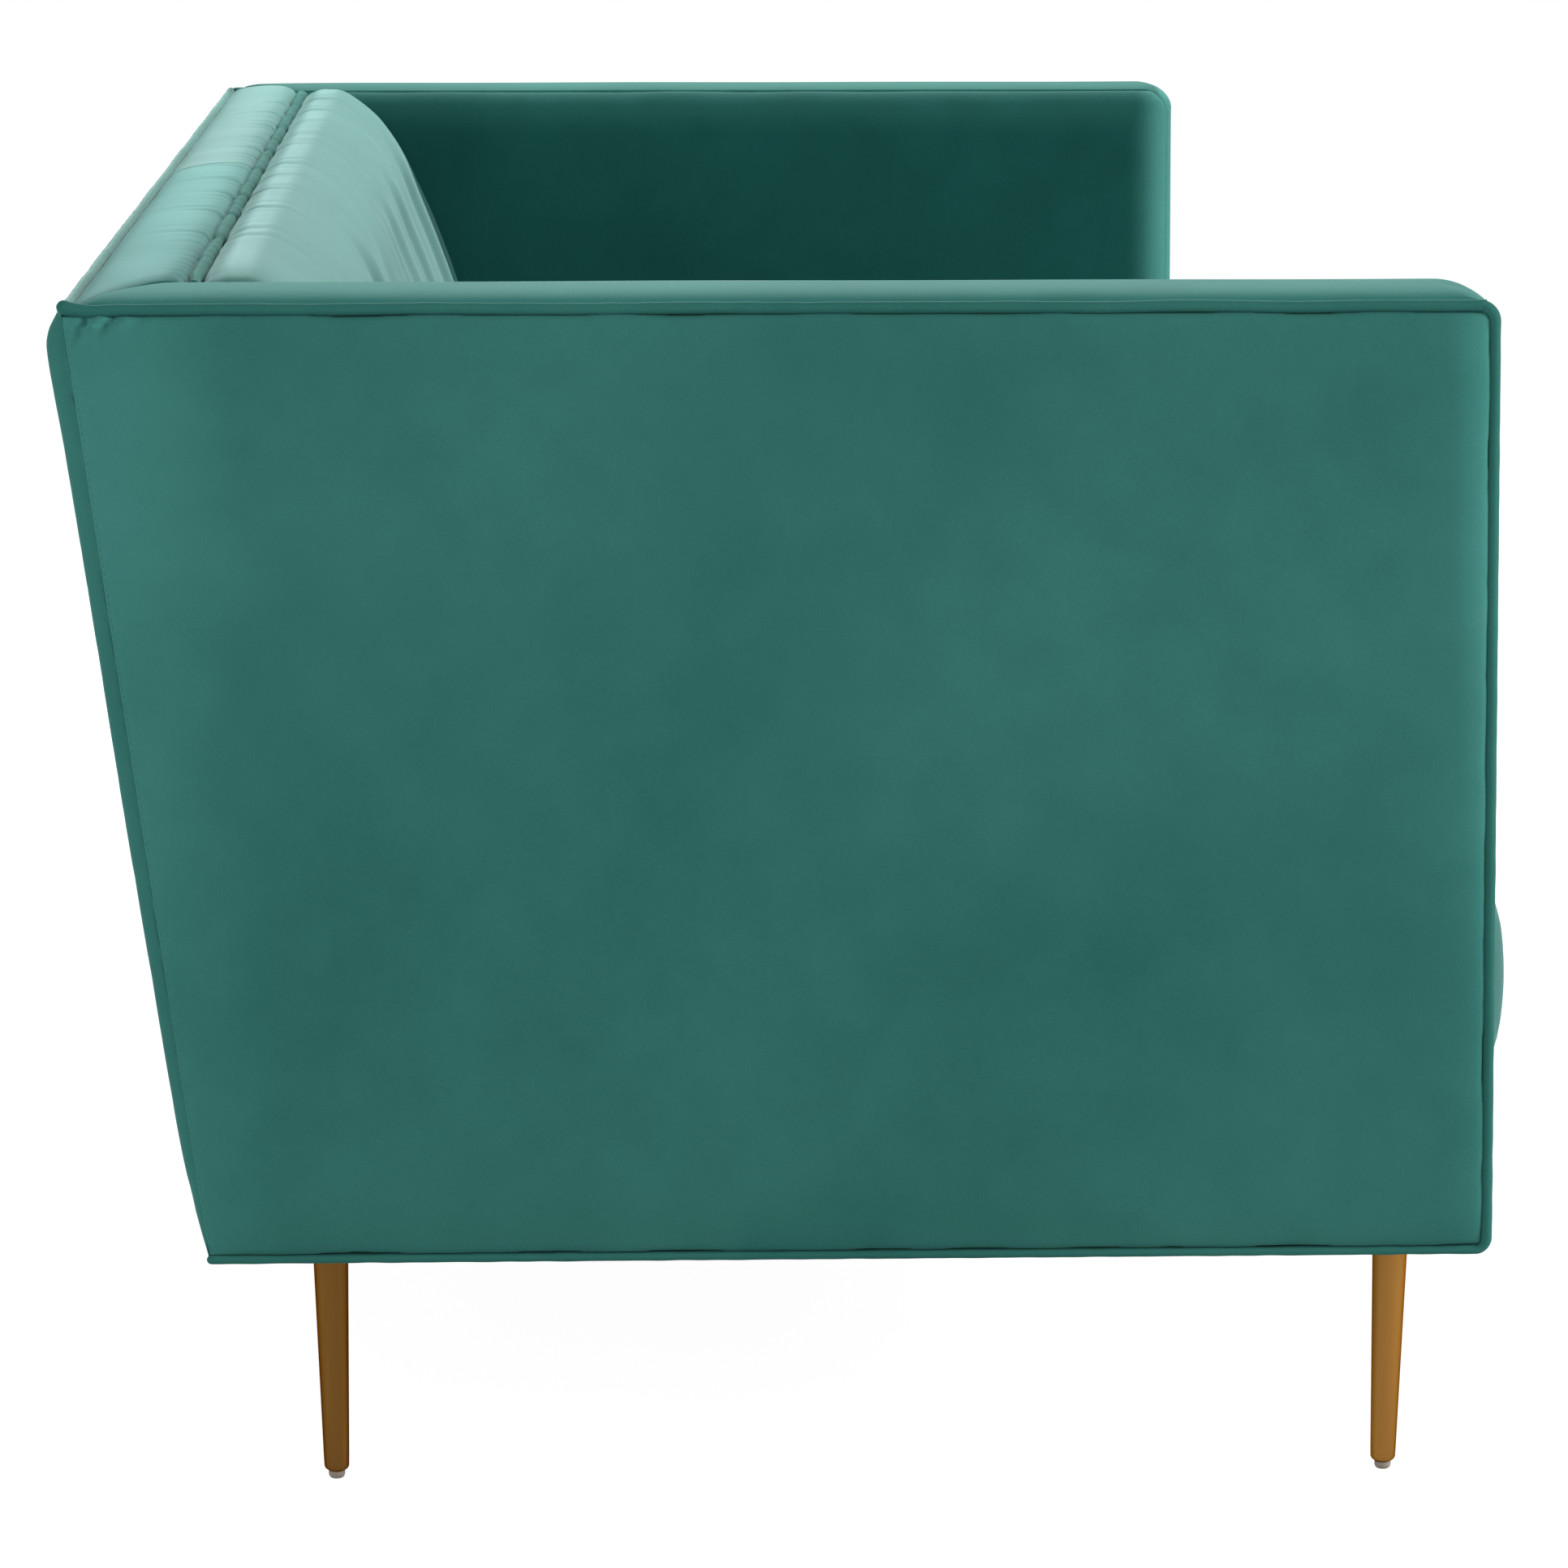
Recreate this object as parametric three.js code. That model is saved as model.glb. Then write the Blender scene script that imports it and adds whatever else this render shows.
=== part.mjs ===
// Tuxedo sofa: arms as high as the back, velvet covers with piping, slim tapered metal legs.
// Millimetres. +Z is up, the front faces -Y, the length runs along X and left is -X.
// The origin is on the floor, under the middle of the sofa's bounding box.
import * as THREE from "three";

// Overall sizes
const sofaLength = 2030;
const sofaDepth = 866;
const sofaHeight = 711;
const armThickness = 120;
const coverBottom = 144;
const backRake = 78;
const frontLean = 3.5;
const gap = 0.3;

// Covers and padding
const weltDiameter = 7;
const sidePadThickness = 12;
const innerArmPadThickness = 18;
const frontPadThickness = 18.5;
const topPadThickness = 15.3;
const outerBackPadThickness = 13;
const backProud = 9.3;
const borderThickness = 12;
const coverCornerRadius = 8;
const boxingBend = 1;
const weltSetback = 11.3;

// Seat and inner back
const cushionProud = 21;
const cushionThickness = 136;
const cushionCrown = 40;
const cushionBow = 20;
const cushionSideGap = 2;
const seatDeckHeight = 217;
const deckPadThickness = 4;
const deckClearance = 0.4;
const backPadReach = 160;
const pinchPitch = 149;
const pinchDepth = 3;
const ruchedWeltDiameter = 8;

// Timber frame
const boardThickness = 28;
const rearRailThickness = 60;
const frameBottom = 152;
const lowerBackRailHeight = 50;
const backFrameDepth = 71;
const cornerBlockWidth = 66;

// The low rails' neighbours, as shares of the rails' and of the corner blocks' height
const crossRailShare = 0.86;
const cornerBlockShare = 0.8;
const studShare = 0.9;

// Springs, wire and webs
const springCount = 7;
const springBends = 12;
const springWire = 3.6;
const springWidth = 48;
const springArch = 4;
const springSeat = 14;
const tieWire = 2.4;
const tieWirePlace = -60;
const webThickness = 1.6;
const webWidth = 50;
const webOverlap = 20;
const webHeights = [340, 500];

// Legs
const legInsetSide = 60;
const legInsetFront = 63;
const legInsetRear = 68;
const legTopDiameter = 21.3;
const legFootDiameter = 14.7;
const legFootRounding = 3.2;
const legLean = 3;
const studDiameter = 8;
const studClearance = 0.5;
const plateWidth = 60;
const plateThickness = 2.6;
const glideHeight = 4.6;
const glideDiameter = 9.8;
const glideFlatDiameter = 6;
const glideDomeStart = 1.6;
const glideStemDiameter = 5;
const glideStemLength = 11;
const centreLegDiameter = 26;
const centreFootDiameter = 34;
const centreFootHeight = 9;

// Dust cover
const dustCoverThickness = 1.2;
const dustCoverMargin = 12;
const centreLegHoleMargin = 3;

// Heights and planes that the pieces share
const halfLength = sofaLength / 2;
const weltRadius = weltDiameter / 2;
const armInner = halfLength - armThickness;
const armFront = -(sofaDepth / 2 - cushionProud);
const topSeam = sofaHeight - topPadThickness + weltRadius;
const lowSeam = coverBottom + weltRadius;
const boxingBase = topSeam - weltRadius;
const deckPadBottom = seatDeckHeight - deckPadThickness;
const springBottom = deckPadBottom - deckClearance - tieWire - gap - springArch - springWire;
const railTop = springBottom - gap;
const railHeight = railTop - frameBottom;
const cornerBlockHeight = railHeight * cornerBlockShare;
const studLength = cornerBlockHeight * studShare;
const frameFront = armFront + frontPadThickness;
const coreOuter = halfLength - sidePadThickness - gap;
const coreInner = armInner + innerArmPadThickness + gap;
const armRailTop = boxingBase - gap;
const armRailBottom = armRailTop - boardThickness;
const rearSeamTop = sofaDepth / 2 - backProud;
const weltInset = weltRadius + gap;
const boxingOuter = halfLength - weltInset - weltRadius - gap;
const legX = halfLength - legInsetSide;
const ruchedRadius = ruchedWeltDiameter / 2;
const backPadTop = sofaHeight;
const backPadFloor = seatDeckHeight + gap;
const pinchCount = Math.round((2 * (armInner - gap)) / pinchPitch);

// How far up the covers a height lies, from 0 at the low seam to 1 at the top seam
const riseShare = (z) => (z - lowSeam) / (topSeam - lowSeam);
const rearSeam = (z) => rearSeamTop - backRake * (1 - riseShare(z));
const lean = (z) => frontLean * riseShare(z);
const backFrameRear = (z) => rearSeam(z) - gap;
const backFrameFront = (z) => backFrameRear(z) - backFrameDepth;
const webFront = (z) => backFrameFront(z) - gap - webThickness;
const backPadRear = (z) => webFront(z) - gap;
const ruchedY = backPadRear(topSeam) + gap + ruchedRadius;
const topPanelFront = ruchedY + ruchedRadius + gap;
const backWeltY = rearSeamTop - weltRadius / 2;
const topPanelRear = backWeltY - weltRadius - gap;

const legY = {
  front: armFront + legInsetFront,
  rear: rearSeam(lowSeam) - legInsetRear,
};

// Finishes
const velvet = { color: 0x35736c, roughness: 0.9, metalness: 0 };
const paleVelvet = { color: 0x8fc0b8, roughness: 0.9, metalness: 0 };
const piping = { color: 0x2f7068, roughness: 0.9, metalness: 0 };
const hardwood = { color: 0xc59a63, roughness: 0.7, metalness: 0 };
const springSteel = { color: 0x70757a, roughness: 0.4, metalness: 1 };
const zincPlate = { color: 0xa8adb0, roughness: 0.45, metalness: 1 };
const brushedBrass = { color: 0x9a7238, roughness: 0.35, metalness: 1 };
const blackEnamel = { color: 0x1c1d1f, roughness: 0.5, metalness: 0.2 };
const greyPlastic = { color: 0x8f857c, roughness: 0.6, metalness: 0 };
const webbing = { color: 0x2b2b2d, roughness: 0.95, metalness: 0 };
const feltPad = { color: 0xd8d3c6, roughness: 1, metalness: 0 };
const blackCloth = { color: 0x232426, roughness: 1, metalness: 0 };

const sofa = new THREE.Group();

function add(name, geometry, finish) {
  const mesh = new THREE.Mesh(geometry, new THREE.MeshStandardMaterial(finish));
  mesh.name = name;
  sofa.add(mesh);
  return mesh;
}

const sideName = (side) => (side < 0 ? "left" : "right");
const mix = (a, b, share) => a + (b - a) * share;

// Six times the volume that the faces close, negative where they face inwards
function signedVolume(points, faces) {
  let sum = 0;
  for (let i = 0; i < faces.length; i += 3) {
    const [a, b, c] = [points[faces[i]], points[faces[i + 1]], points[faces[i + 2]]];
    sum += a.dot(b.clone().cross(c));
  }
  return sum;
}

// A skin over a row of rings with equal counts of points, closed by a fan over each end ring
function loft(rings) {
  const count = rings[0].length;
  const points = rings.flat();
  const faces = [];
  for (let row = 0; row < rings.length - 1; row += 1) {
    for (let i = 0; i < count; i += 1) {
      const a = row * count + i;
      const b = row * count + ((i + 1) % count);
      faces.push(a, b, a + count, b, b + count, a + count);
    }
  }
  const last = (rings.length - 1) * count;
  const middle = (ring) => ring
    .reduce((sum, point) => sum.add(point), new THREE.Vector3())
    .divideScalar(count);
  points.push(middle(rings[0]), middle(rings[rings.length - 1]));
  const [firstHub, lastHub] = [points.length - 2, points.length - 1];
  for (let i = 0; i < count; i += 1) {
    const next = (i + 1) % count;
    faces.push(firstHub, next, i, lastHub, last + i, last + next);
  }
  if (signedVolume(points, faces) < 0) faces.reverse();
  const geometry = new THREE.BufferGeometry().setFromPoints(points);
  geometry.setIndex(faces);
  geometry.computeVertexNormals();
  return geometry;
}

// A padded panel: flat at the back, domed at the front. Each profile lists pairs of
// a share of the way over the panel and the share of the full thickness that the pad has there.
// place(s, t, h) gives the point at those shares over the panel, h above the backing.
function paddedPanel(place, thickness, across, along) {
  const [firstShare] = across[0];
  const [lastShare] = across[across.length - 1];
  return loft(along.map(([t, alongHeight]) => [
    ...across.map(([s, height]) => place(s, t, thickness * height * alongHeight)),
    place(lastShare, t, 0),
    place(firstShare, t, 0),
  ]));
}

// A round cord through points that lie in a plane square to the axis
function cord(points, radius, axis, sides) {
  return loft(points.map((point, i) => {
    const before = points[Math.max(i - 1, 0)];
    const after = points[Math.min(i + 1, points.length - 1)];
    const tangent = after.clone().sub(before).normalize();
    const normal = axis.clone().cross(tangent);
    return Array.from({ length: sides }, (_, k) => {
      const angle = (2 * Math.PI * k) / sides;
      return point.clone()
        .addScaledVector(normal, radius * Math.cos(angle))
        .addScaledVector(axis, radius * Math.sin(angle));
    });
  }));
}

// A board between two corners
function board(low, high) {
  const size = high.map((value, i) => value - low[i]);
  const centre = high.map((value, i) => (value + low[i]) / 2);
  return new THREE.BoxGeometry(...size).translate(...centre);
}

// An outline of Y, Z pairs drawn out along X between two places
function alongX(outline, x0, x1) {
  const shape = new THREE.Shape(outline.map(([y, z]) => new THREE.Vector2(y, z)));
  const geometry = new THREE.ExtrudeGeometry(shape, { depth: x1 - x0, bevelEnabled: false });
  geometry.applyMatrix4(new THREE.Matrix4().makeBasis(
    new THREE.Vector3(0, 1, 0),
    new THREE.Vector3(0, 0, 1),
    new THREE.Vector3(1, 0, 0),
  ));
  return geometry.translate(x0, 0, 0);
}

// A flat plate seen from above, with round holes
function flatPlate(corners, holes, thickness, z) {
  const shape = new THREE.Shape(corners.map(([x, y]) => new THREE.Vector2(x, y)));
  shape.holes = holes.map(({ x, y, radius }) => new THREE.Path().absarc(x, y, radius, 0, 2 * Math.PI, true));
  const settings = { depth: thickness, bevelEnabled: false, curveSegments: 8 };
  return new THREE.ExtrudeGeometry(shape, settings).translate(0, 0, z);
}

const rectangle = (x0, x1, y0, y1) => [[x0, y0], [x1, y0], [x1, y1], [x0, y1]];
const turned = (profile, sides) => new THREE.LatheGeometry(
  profile.map(([radius, z]) => new THREE.Vector2(radius, z)),
  sides,
).rotateX(Math.PI / 2);

// Base frame: rails, cross rail and corner blocks
const rearRailRear = rearSeam(frameBottom) - gap;
const rearRailFront = rearRailRear - rearRailThickness;
const frontRailRear = frameFront + gap + boardThickness;

function baseFrame() {
  add("front_rail", board(
    [-coreOuter, frameFront + gap, frameBottom],
    [coreOuter, frontRailRear, railTop],
  ), hardwood);
  add("rear_rail", board(
    [-coreOuter, rearRailFront, frameBottom],
    [coreOuter, rearRailRear, railTop],
  ), hardwood);
  add("centre_cross_rail", board(
    [-boardThickness / 2, frontRailRear + gap, frameBottom],
    [boardThickness / 2, rearRailFront - gap, frameBottom + railHeight * crossRailShare],
  ), hardwood);
  for (const side of [-1, 1]) {
    const [x0, x1] = [side * coreOuter, side * (coreOuter - boardThickness)].sort((a, b) => a - b);
    add(`side_rail_${sideName(side)}`, board(
      [x0, frontRailRear + gap, frameBottom],
      [x1, rearRailFront - gap, railTop],
    ), hardwood);
    for (const end of ["front", "rear"]) cornerBlock(side, end);
  }
}

function cornerBlock(side, end) {
  const blockOuter = side * (coreOuter - boardThickness - gap);
  const blockInner = blockOuter - side * cornerBlockWidth;
  const againstRail = end === "front" ? frontRailRear + gap : rearRailFront - gap;
  const free = againstRail + (end === "front" ? cornerBlockWidth : -cornerBlockWidth);
  const corners = rectangle(
    Math.min(blockOuter, blockInner), Math.max(blockOuter, blockInner),
    Math.min(againstRail, free), Math.max(againstRail, free),
  );
  const bore = { x: side * legX, y: legY[end], radius: studDiameter / 2 + studClearance };
  const block = flatPlate(corners, [bore], cornerBlockHeight, frameBottom);
  add(`corner_block_${end}_${sideName(side)}`, block, hardwood);
}

// Arm and back frames
const rakedOutline = (front, rear, low, high) => [
  [front(low), low],
  [rear(low), low],
  [rear(high), high],
  [front(high), high],
];

function armFrames() {
  for (const side of [-1, 1]) {
    const [x0, x1] = [side * coreInner, side * coreOuter].sort((a, b) => a - b);
    add(`arm_post_${sideName(side)}`, board(
      [x0, frameFront + gap, railTop + gap],
      [x1, frontRailRear, armRailBottom - gap],
    ), hardwood);
    const square = () => frameFront + gap;
    add(
      `arm_top_rail_${sideName(side)}`,
      alongX(rakedOutline(square, backFrameRear, armRailBottom, armRailTop), x0, x1),
      hardwood,
    );
    add(
      `back_post_${sideName(side)}`,
      alongX(rakedOutline(backFrameFront, backFrameRear, railTop + gap, armRailBottom - gap), x0, x1),
      hardwood,
    );
  }
}

function backFrame() {
  const reach = coreInner - gap;
  const lowerRailTop = railTop + gap + lowerBackRailHeight;
  const lowerRailFront = (z) => backFrameRear(z) - boardThickness;
  add(
    "back_top_rail",
    alongX(rakedOutline(backFrameFront, backFrameRear, armRailBottom, armRailTop), -reach, reach),
    hardwood,
  );
  add(
    "back_lower_rail",
    alongX(rakedOutline(lowerRailFront, backFrameRear, railTop + gap, lowerRailTop), -reach, reach),
    hardwood,
  );
  add(
    "back_centre_upright",
    alongX(
      rakedOutline(backFrameFront, backFrameRear, lowerRailTop + gap, armRailBottom - gap),
      -boardThickness / 2,
      boardThickness / 2,
    ),
    hardwood,
  );
  const webReach = coreInner + webOverlap;
  const webRear = (z) => webFront(z) + webThickness;
  webHeights.forEach((z, i) => add(
    `back_web_${i + 1}`,
    alongX(rakedOutline(webFront, webRear, z, z + webWidth), -webReach, webReach),
    webbing,
  ));
}

// Seat springs: a zigzag wire from the front rail to the rear rail, arched a little
class SpringLine extends THREE.Curve {
  constructor(x) {
    super();
    this.x = x;
    this.front = frameFront + gap + springSeat;
    this.rear = rearRailFront + springSeat;
  }

  getPoint(share, target = new THREE.Vector3()) {
    const swing = Math.sin(springBends * Math.PI * share);
    const arch = springArch * Math.sin(Math.PI * share);
    return target.set(
      this.x + (springWidth / 2) * swing,
      mix(this.front, this.rear, share),
      springBottom + springWire / 2 + arch,
    );
  }
}

const polygon = (radius, sides) => new THREE.Shape(Array.from({ length: sides }, (_, k) => {
  const angle = (2 * Math.PI * k) / sides;
  return new THREE.Vector2(radius * Math.cos(angle), radius * Math.sin(angle));
}));

function seatSprings() {
  const pitch = (2 * armInner) / springCount;
  for (let i = 0; i < springCount; i += 1) {
    const line = new SpringLine((i - (springCount - 1) / 2) * pitch);
    const settings = { steps: springBends * 4, extrudePath: line };
    add(`seat_spring_${i + 1}`, new THREE.ExtrudeGeometry(polygon(springWire / 2, 5), settings), springSteel);
  }
  const tieZ = springBottom + springWire + springArch + gap + tieWire / 2;
  const reach = armInner - gap;
  const wire = [-reach, reach].map((x) => new THREE.Vector3(x, tieWirePlace, tieZ));
  add("spring_tie_wire", cord(wire, tieWire / 2, new THREE.Vector3(0, 0, 1), 6), springSteel);
}

// Legs: a tapered tube with a threaded stud above and a bore for the glide's stem below
function leg(side, end) {
  const name = `${end}_${sideName(side)}`;
  const top = frameBottom - gap - plateThickness - gap;
  const foot = legFootDiameter / 2;
  const bore = glideStemDiameter / 2 + gap;
  const stemTop = glideHeight + glideStemLength;
  const rounding = [0, 1, 2, 3].map((step) => {
    const angle = (step * Math.PI) / 6;
    return [
      foot - legFootRounding * (1 - Math.sin(angle)),
      glideHeight + gap + legFootRounding * (1 - Math.cos(angle)),
    ];
  });
  const tube = turned([
    [0, stemTop + gap],
    [bore, stemTop + gap],
    [bore, glideHeight + gap],
    ...rounding,
    [legTopDiameter / 2, top],
    [studDiameter / 2, top],
    [studDiameter / 2, top + studLength],
    [0, top + studLength],
  ], 20);
  // The foot stands a little nearer the sofa's middle than the top, and both ends stay level.
  const inward = end === "front" ? legLean : -legLean;
  const shift = (z) => inward * (1 - Math.min(z, top) / top);
  const place = tube.getAttribute("position");
  for (let i = 0; i < place.count; i += 1) place.setY(i, place.getY(i) + shift(place.getZ(i)));
  tube.translate(side * legX, legY[end], 0);
  return { name, tube, foot: [side * legX, legY[end] + shift(stemTop / 2)] };
}

function glide(x, y) {
  const radius = glideDiameter / 2;
  const flat = glideFlatDiameter / 2;
  const shoulder = mix(flat, radius, Math.SQRT1_2);
  return turned([
    [0, 0],
    [flat, 0],
    [shoulder, glideDomeStart / 2],
    [radius, glideDomeStart * 2],
    [radius, glideHeight],
    [glideStemDiameter / 2, glideHeight],
    [glideStemDiameter / 2, glideHeight + glideStemLength],
    [0, glideHeight + glideStemLength],
  ], 16).translate(x, y, 0);
}

function legPlate(side, end) {
  const [x, y] = [side * legX, legY[end]];
  const half = plateWidth / 2;
  const corners = rectangle(x - half, x + half, y - half, y + half);
  const hole = { x, y, radius: studDiameter / 2 + studClearance };
  return flatPlate(corners, [hole], plateThickness, frameBottom - gap - plateThickness);
}

function legs() {
  for (const side of [-1, 1]) {
    for (const end of ["front", "rear"]) {
      const { name, tube, foot } = leg(side, end);
      add(`leg_${name}`, tube, brushedBrass);
      add(`glide_${name}`, glide(...foot), greyPlastic);
      add(`leg_plate_${name}`, legPlate(side, end), zincPlate);
    }
  }
  add("centre_support_leg", turned([
    [0, 0],
    [centreFootDiameter / 2, 0],
    [centreFootDiameter / 2, centreFootHeight / 2],
    [centreLegDiameter / 2, centreFootHeight],
    [centreLegDiameter / 2, frameBottom - gap],
    [0, frameBottom - gap],
  ], 16), blackEnamel);
}

// Dust cover: cloth under the base frame, notched round the leg plates
function dustCover() {
  const x1 = coreOuter - dustCoverMargin;
  const [y0, y1] = [frameFront + dustCoverMargin, rearRailRear - dustCoverMargin];
  const notchX = legX - plateWidth / 2 - dustCoverMargin;
  const notchFront = legY.front + plateWidth / 2 + dustCoverMargin;
  const notchRear = legY.rear - plateWidth / 2 - dustCoverMargin;
  const right = [
    [notchX, y0],
    [notchX, notchFront],
    [x1, notchFront],
    [x1, notchRear],
    [notchX, notchRear],
    [notchX, y1],
  ];
  const left = right.map(([x, y]) => [-x, y]).reverse();
  const hole = { x: 0, y: 0, radius: centreLegDiameter / 2 + centreLegHoleMargin };
  const z = frameBottom - gap - dustCoverThickness;
  add("dust_cover", flatPlate([...right, ...left], [hole], dustCoverThickness, z), blackCloth);
}

// Domes of the padded panels, as shares of the way over and of the thickness
const thinEdgeShares = [
  [0, 0.62], [0.012, 0.84], [0.05, 0.97], [0.3, 1], [0.7, 1], [0.95, 0.97], [0.988, 0.84], [1, 0.62],
];
const flatDomeShares = [[0, 0.8], [0.02, 0.95], [0.08, 1], [0.92, 1], [0.98, 0.95], [1, 0.8]];
const topDomeShares = [
  [0, 0.3], [0.06, 0.62], [0.18, 0.86], [0.45, 1], [0.65, 0.98], [0.85, 0.8], [0.95, 0.52], [1, 0.25],
];
const rearRiseShares = [
  [0, 0.2], [0.015, 0.28], [0.04, 0.36], [0.14, 0.58], [0.31, 0.66], [0.48, 0.75],
  [0.65, 0.8], [0.85, 0.89], [0.954, 1], [0.985, 0.76], [1, 0.35],
];
const rearSpanShares = [
  [0, 0.3], [0.006, 0.62], [0.02, 0.88], [0.06, 1], [0.94, 1], [0.98, 0.88], [0.994, 0.62], [1, 0.3],
];
const topPanelShares = [
  [0, 0.16], [0.13, 0.55], [0.25, 0.74], [0.43, 0.88], [0.62, 0.93], [0.8, 0.95], [0.93, 0.88], [1, 0.7],
];

function armPanels(side) {
  const name = sideName(side);
  const low = lowSeam + weltRadius + gap;
  const high = topSeam - weltRadius - gap;
  const weltRear = armFront + weltSetback + weltDiameter + gap;
  const outer = (s, t, h) => {
    const z = mix(low, high, t);
    const y = mix(weltRear + lean(z), rearSeam(z) - gap, s);
    return new THREE.Vector3(side * (halfLength - sidePadThickness + h), y, z);
  };
  add(
    `arm_outer_panel_${name}`,
    paddedPanel(outer, sidePadThickness, thinEdgeShares, thinEdgeShares),
    velvet,
  );
  const inner = (s, t, h) => {
    const z = mix(railTop + gap, high, t);
    const y = mix(frameFront + gap, webFront(z) - gap, s);
    return new THREE.Vector3(side * (armInner + innerArmPadThickness - h), y, z);
  };
  add(
    `arm_inner_panel_${name}`,
    paddedPanel(inner, innerArmPadThickness, flatDomeShares, flatDomeShares),
    velvet,
  );
}

// Arm boxing: one strip up the arm's front, round the top corner and back along the top.
// Stations give the place on the backing in Y and Z, the way out from it, and the pad's share there.
function boxingStations() {
  const backingY = frameFront;
  const corner = [backingY + boxingBend, boxingBase - boxingBend];
  const frontShares = [
    [0, 0.86], [0.012, 0.96], [0.03, 1], [0.5, 0.93], [0.93, 0.82], [0.98, 0.78], [1, 0.72],
  ];
  const bendShares = [[0.2, 0.55], [0.5, 0.47], [0.8, 0.5], [1, 0.58]];
  const topShares = [
    [0.006, 0.62], [0.018, 0.71], [0.036, 0.79], [0.056, 0.827],
    [0.5, 0.827], [0.94, 0.827], [0.985, 0.8], [1, 0.66],
  ];
  const front = frontShares.map(([share, height]) => ({
    y: () => backingY,
    z: mix(coverBottom + gap, corner[1], share),
    out: [-1, 0],
    height,
  }));
  const bend = bendShares.map(([share, height]) => {
    const angle = (share * Math.PI) / 2;
    return {
      y: () => corner[0] - boxingBend * Math.cos(angle),
      z: corner[1] + boxingBend * Math.sin(angle),
      out: [-Math.cos(angle), Math.sin(angle)],
      height,
    };
  });
  const top = topShares.map(([share, height]) => ({
    y: (s) => mix(corner[0], mix(topPanelRear, topPanelFront, s) - gap, share),
    z: boxingBase,
    out: [0, 1],
    height,
  }));
  return [...front, ...bend, ...top];
}

function armBoxing(side) {
  const stations = boxingStations();
  const place = (s, t, h) => {
    const { y, z, out } = stations[t];
    const [outY, outZ] = out;
    return new THREE.Vector3(
      side * mix(boxingOuter, armInner, s),
      y(s) + outY * h,
      z + outZ * h,
    );
  };
  const along = stations.map(({ height }, t) => [t, height]);
  add(`arm_boxing_${sideName(side)}`, paddedPanel(place, frontPadThickness, topDomeShares, along), velvet);
}

// Back top panels: two lengths with a seam at the middle, mitred into the arm boxing
function backTopPanel(side) {
  const seamShares = [[0, 0.78], [0.008, 0.93]];
  const mitreShares = [[0.992, 0.96], [1, 0.8]];
  const middle = Array.from({ length: pinchCount }, (_, i) => [
    (i + 0.5) / pinchCount,
    i % 2 ? 1 : 1 - pinchDepth / topPadThickness,
  ]);
  const place = (s, t, h) => new THREE.Vector3(
    side * mix(gap / 2, mix(boxingOuter, armInner, s) - gap, t),
    mix(topPanelRear, topPanelFront, s),
    boxingBase + h,
  );
  const along = [...seamShares, ...middle, ...mitreShares];
  const panel = paddedPanel(place, topPadThickness, topPanelShares, along);
  add(`back_top_panel_${sideName(side)}`, panel, paleVelvet);
}

function outerBackPanel() {
  const low = coverBottom + gap;
  const high = topSeam - weltRadius - gap;
  const reach = halfLength - weltRadius / 2;
  const place = (s, t, h) => {
    const z = mix(low, high, s);
    return new THREE.Vector3(mix(-reach, reach, t), rearSeam(z) + h, z);
  };
  add("outer_back_panel", paddedPanel(place, outerBackPadThickness, rearRiseShares, rearSpanShares), velvet);
}

function frontBorder() {
  const [reach, high] = [armInner - gap, seatDeckHeight - gap];
  const place = (s, t, h) => {
    const z = mix(coverBottom + gap, high, s);
    return new THREE.Vector3(mix(-reach, reach, t), frameFront - h, z);
  };
  add("front_border", paddedPanel(place, borderThickness, flatDomeShares, flatDomeShares), velvet);
}

function deckPad() {
  const [x, y0] = [armInner - gap, frameFront + gap];
  const rear = backPadRear(deckPadBottom);
  add("seat_deck_pad", board([-x, y0, deckPadBottom], [x, rear, seatDeckHeight]), feltPad);
}

// Seat cushion: a bench cushion with a crowned top, a bowed front band and drawn-in ends.
// The bands' rows pair a share of the thickness with one of the bow, the top's a share of the
// depth with one of the crown, and the ends' a share of the length with those of crown and size.
const cushionFrontShares = [[0, 0.2], [0.12, 0.6], [0.3, 0.9], [0.5, 1], [0.7, 0.9], [0.88, 0.6], [1, 0.2]];
const cushionTopShares = [
  [0.03, 0.2], [0.1, 0.5], [0.25, 0.85], [0.5, 1], [0.75, 0.85], [0.9, 0.5], [0.97, 0.2],
];
const cushionRearShares = [[1, 0.35], [0.75, 0.85], [0.5, 1], [0.25, 0.85], [0, 0.35]];
const cushionEndShares = [
  [0, 0.2, 0.9], [0.004, 0.35, 0.96], [0.012, 0.5, 0.99], [0.04, 0.72, 1],
  [0.1, 0.9, 1], [0.25, 0.98, 1], [0.5, 1, 1],
];

function seatCushion() {
  const reach = armInner - cushionSideGap;
  const front = armFront - cushionProud + cushionBow;
  const rear = backPadFront(seatDeckHeight + cushionThickness) - cushionSideGap - cushionBow;
  const base = seatDeckHeight + gap;
  const middle = base + cushionThickness / 2;
  const ring = (share, crown, size) => {
    const x = mix(-reach, reach, share);
    const draw = ((1 - size) * cushionThickness) / 2;
    const point = (y, z) => new THREE.Vector3(x, y, middle + (z - middle) * size);
    return [
      ...cushionFrontShares.map(([up, bow]) => point(
        front + draw - cushionBow * bow * size,
        base + cushionThickness * up,
      )),
      ...cushionTopShares.map(([back, rise]) => point(
        mix(front, rear, back),
        base + cushionThickness + cushionCrown * rise * crown,
      )),
      ...cushionRearShares.map(([up, bow]) => point(
        rear - draw + cushionBow * bow * size,
        base + cushionThickness * up,
      )),
    ];
  };
  const nearHalf = cushionEndShares.map(([share, crown, size]) => ring(share, crown, size));
  const farEnds = cushionEndShares.slice(0, -1).reverse();
  const farHalf = farEnds.map(([share, crown, size]) => ring(1 - share, crown, size));
  add("seat_cushion", loft([...nearHalf, ...farHalf]), paleVelvet);
}

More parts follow.
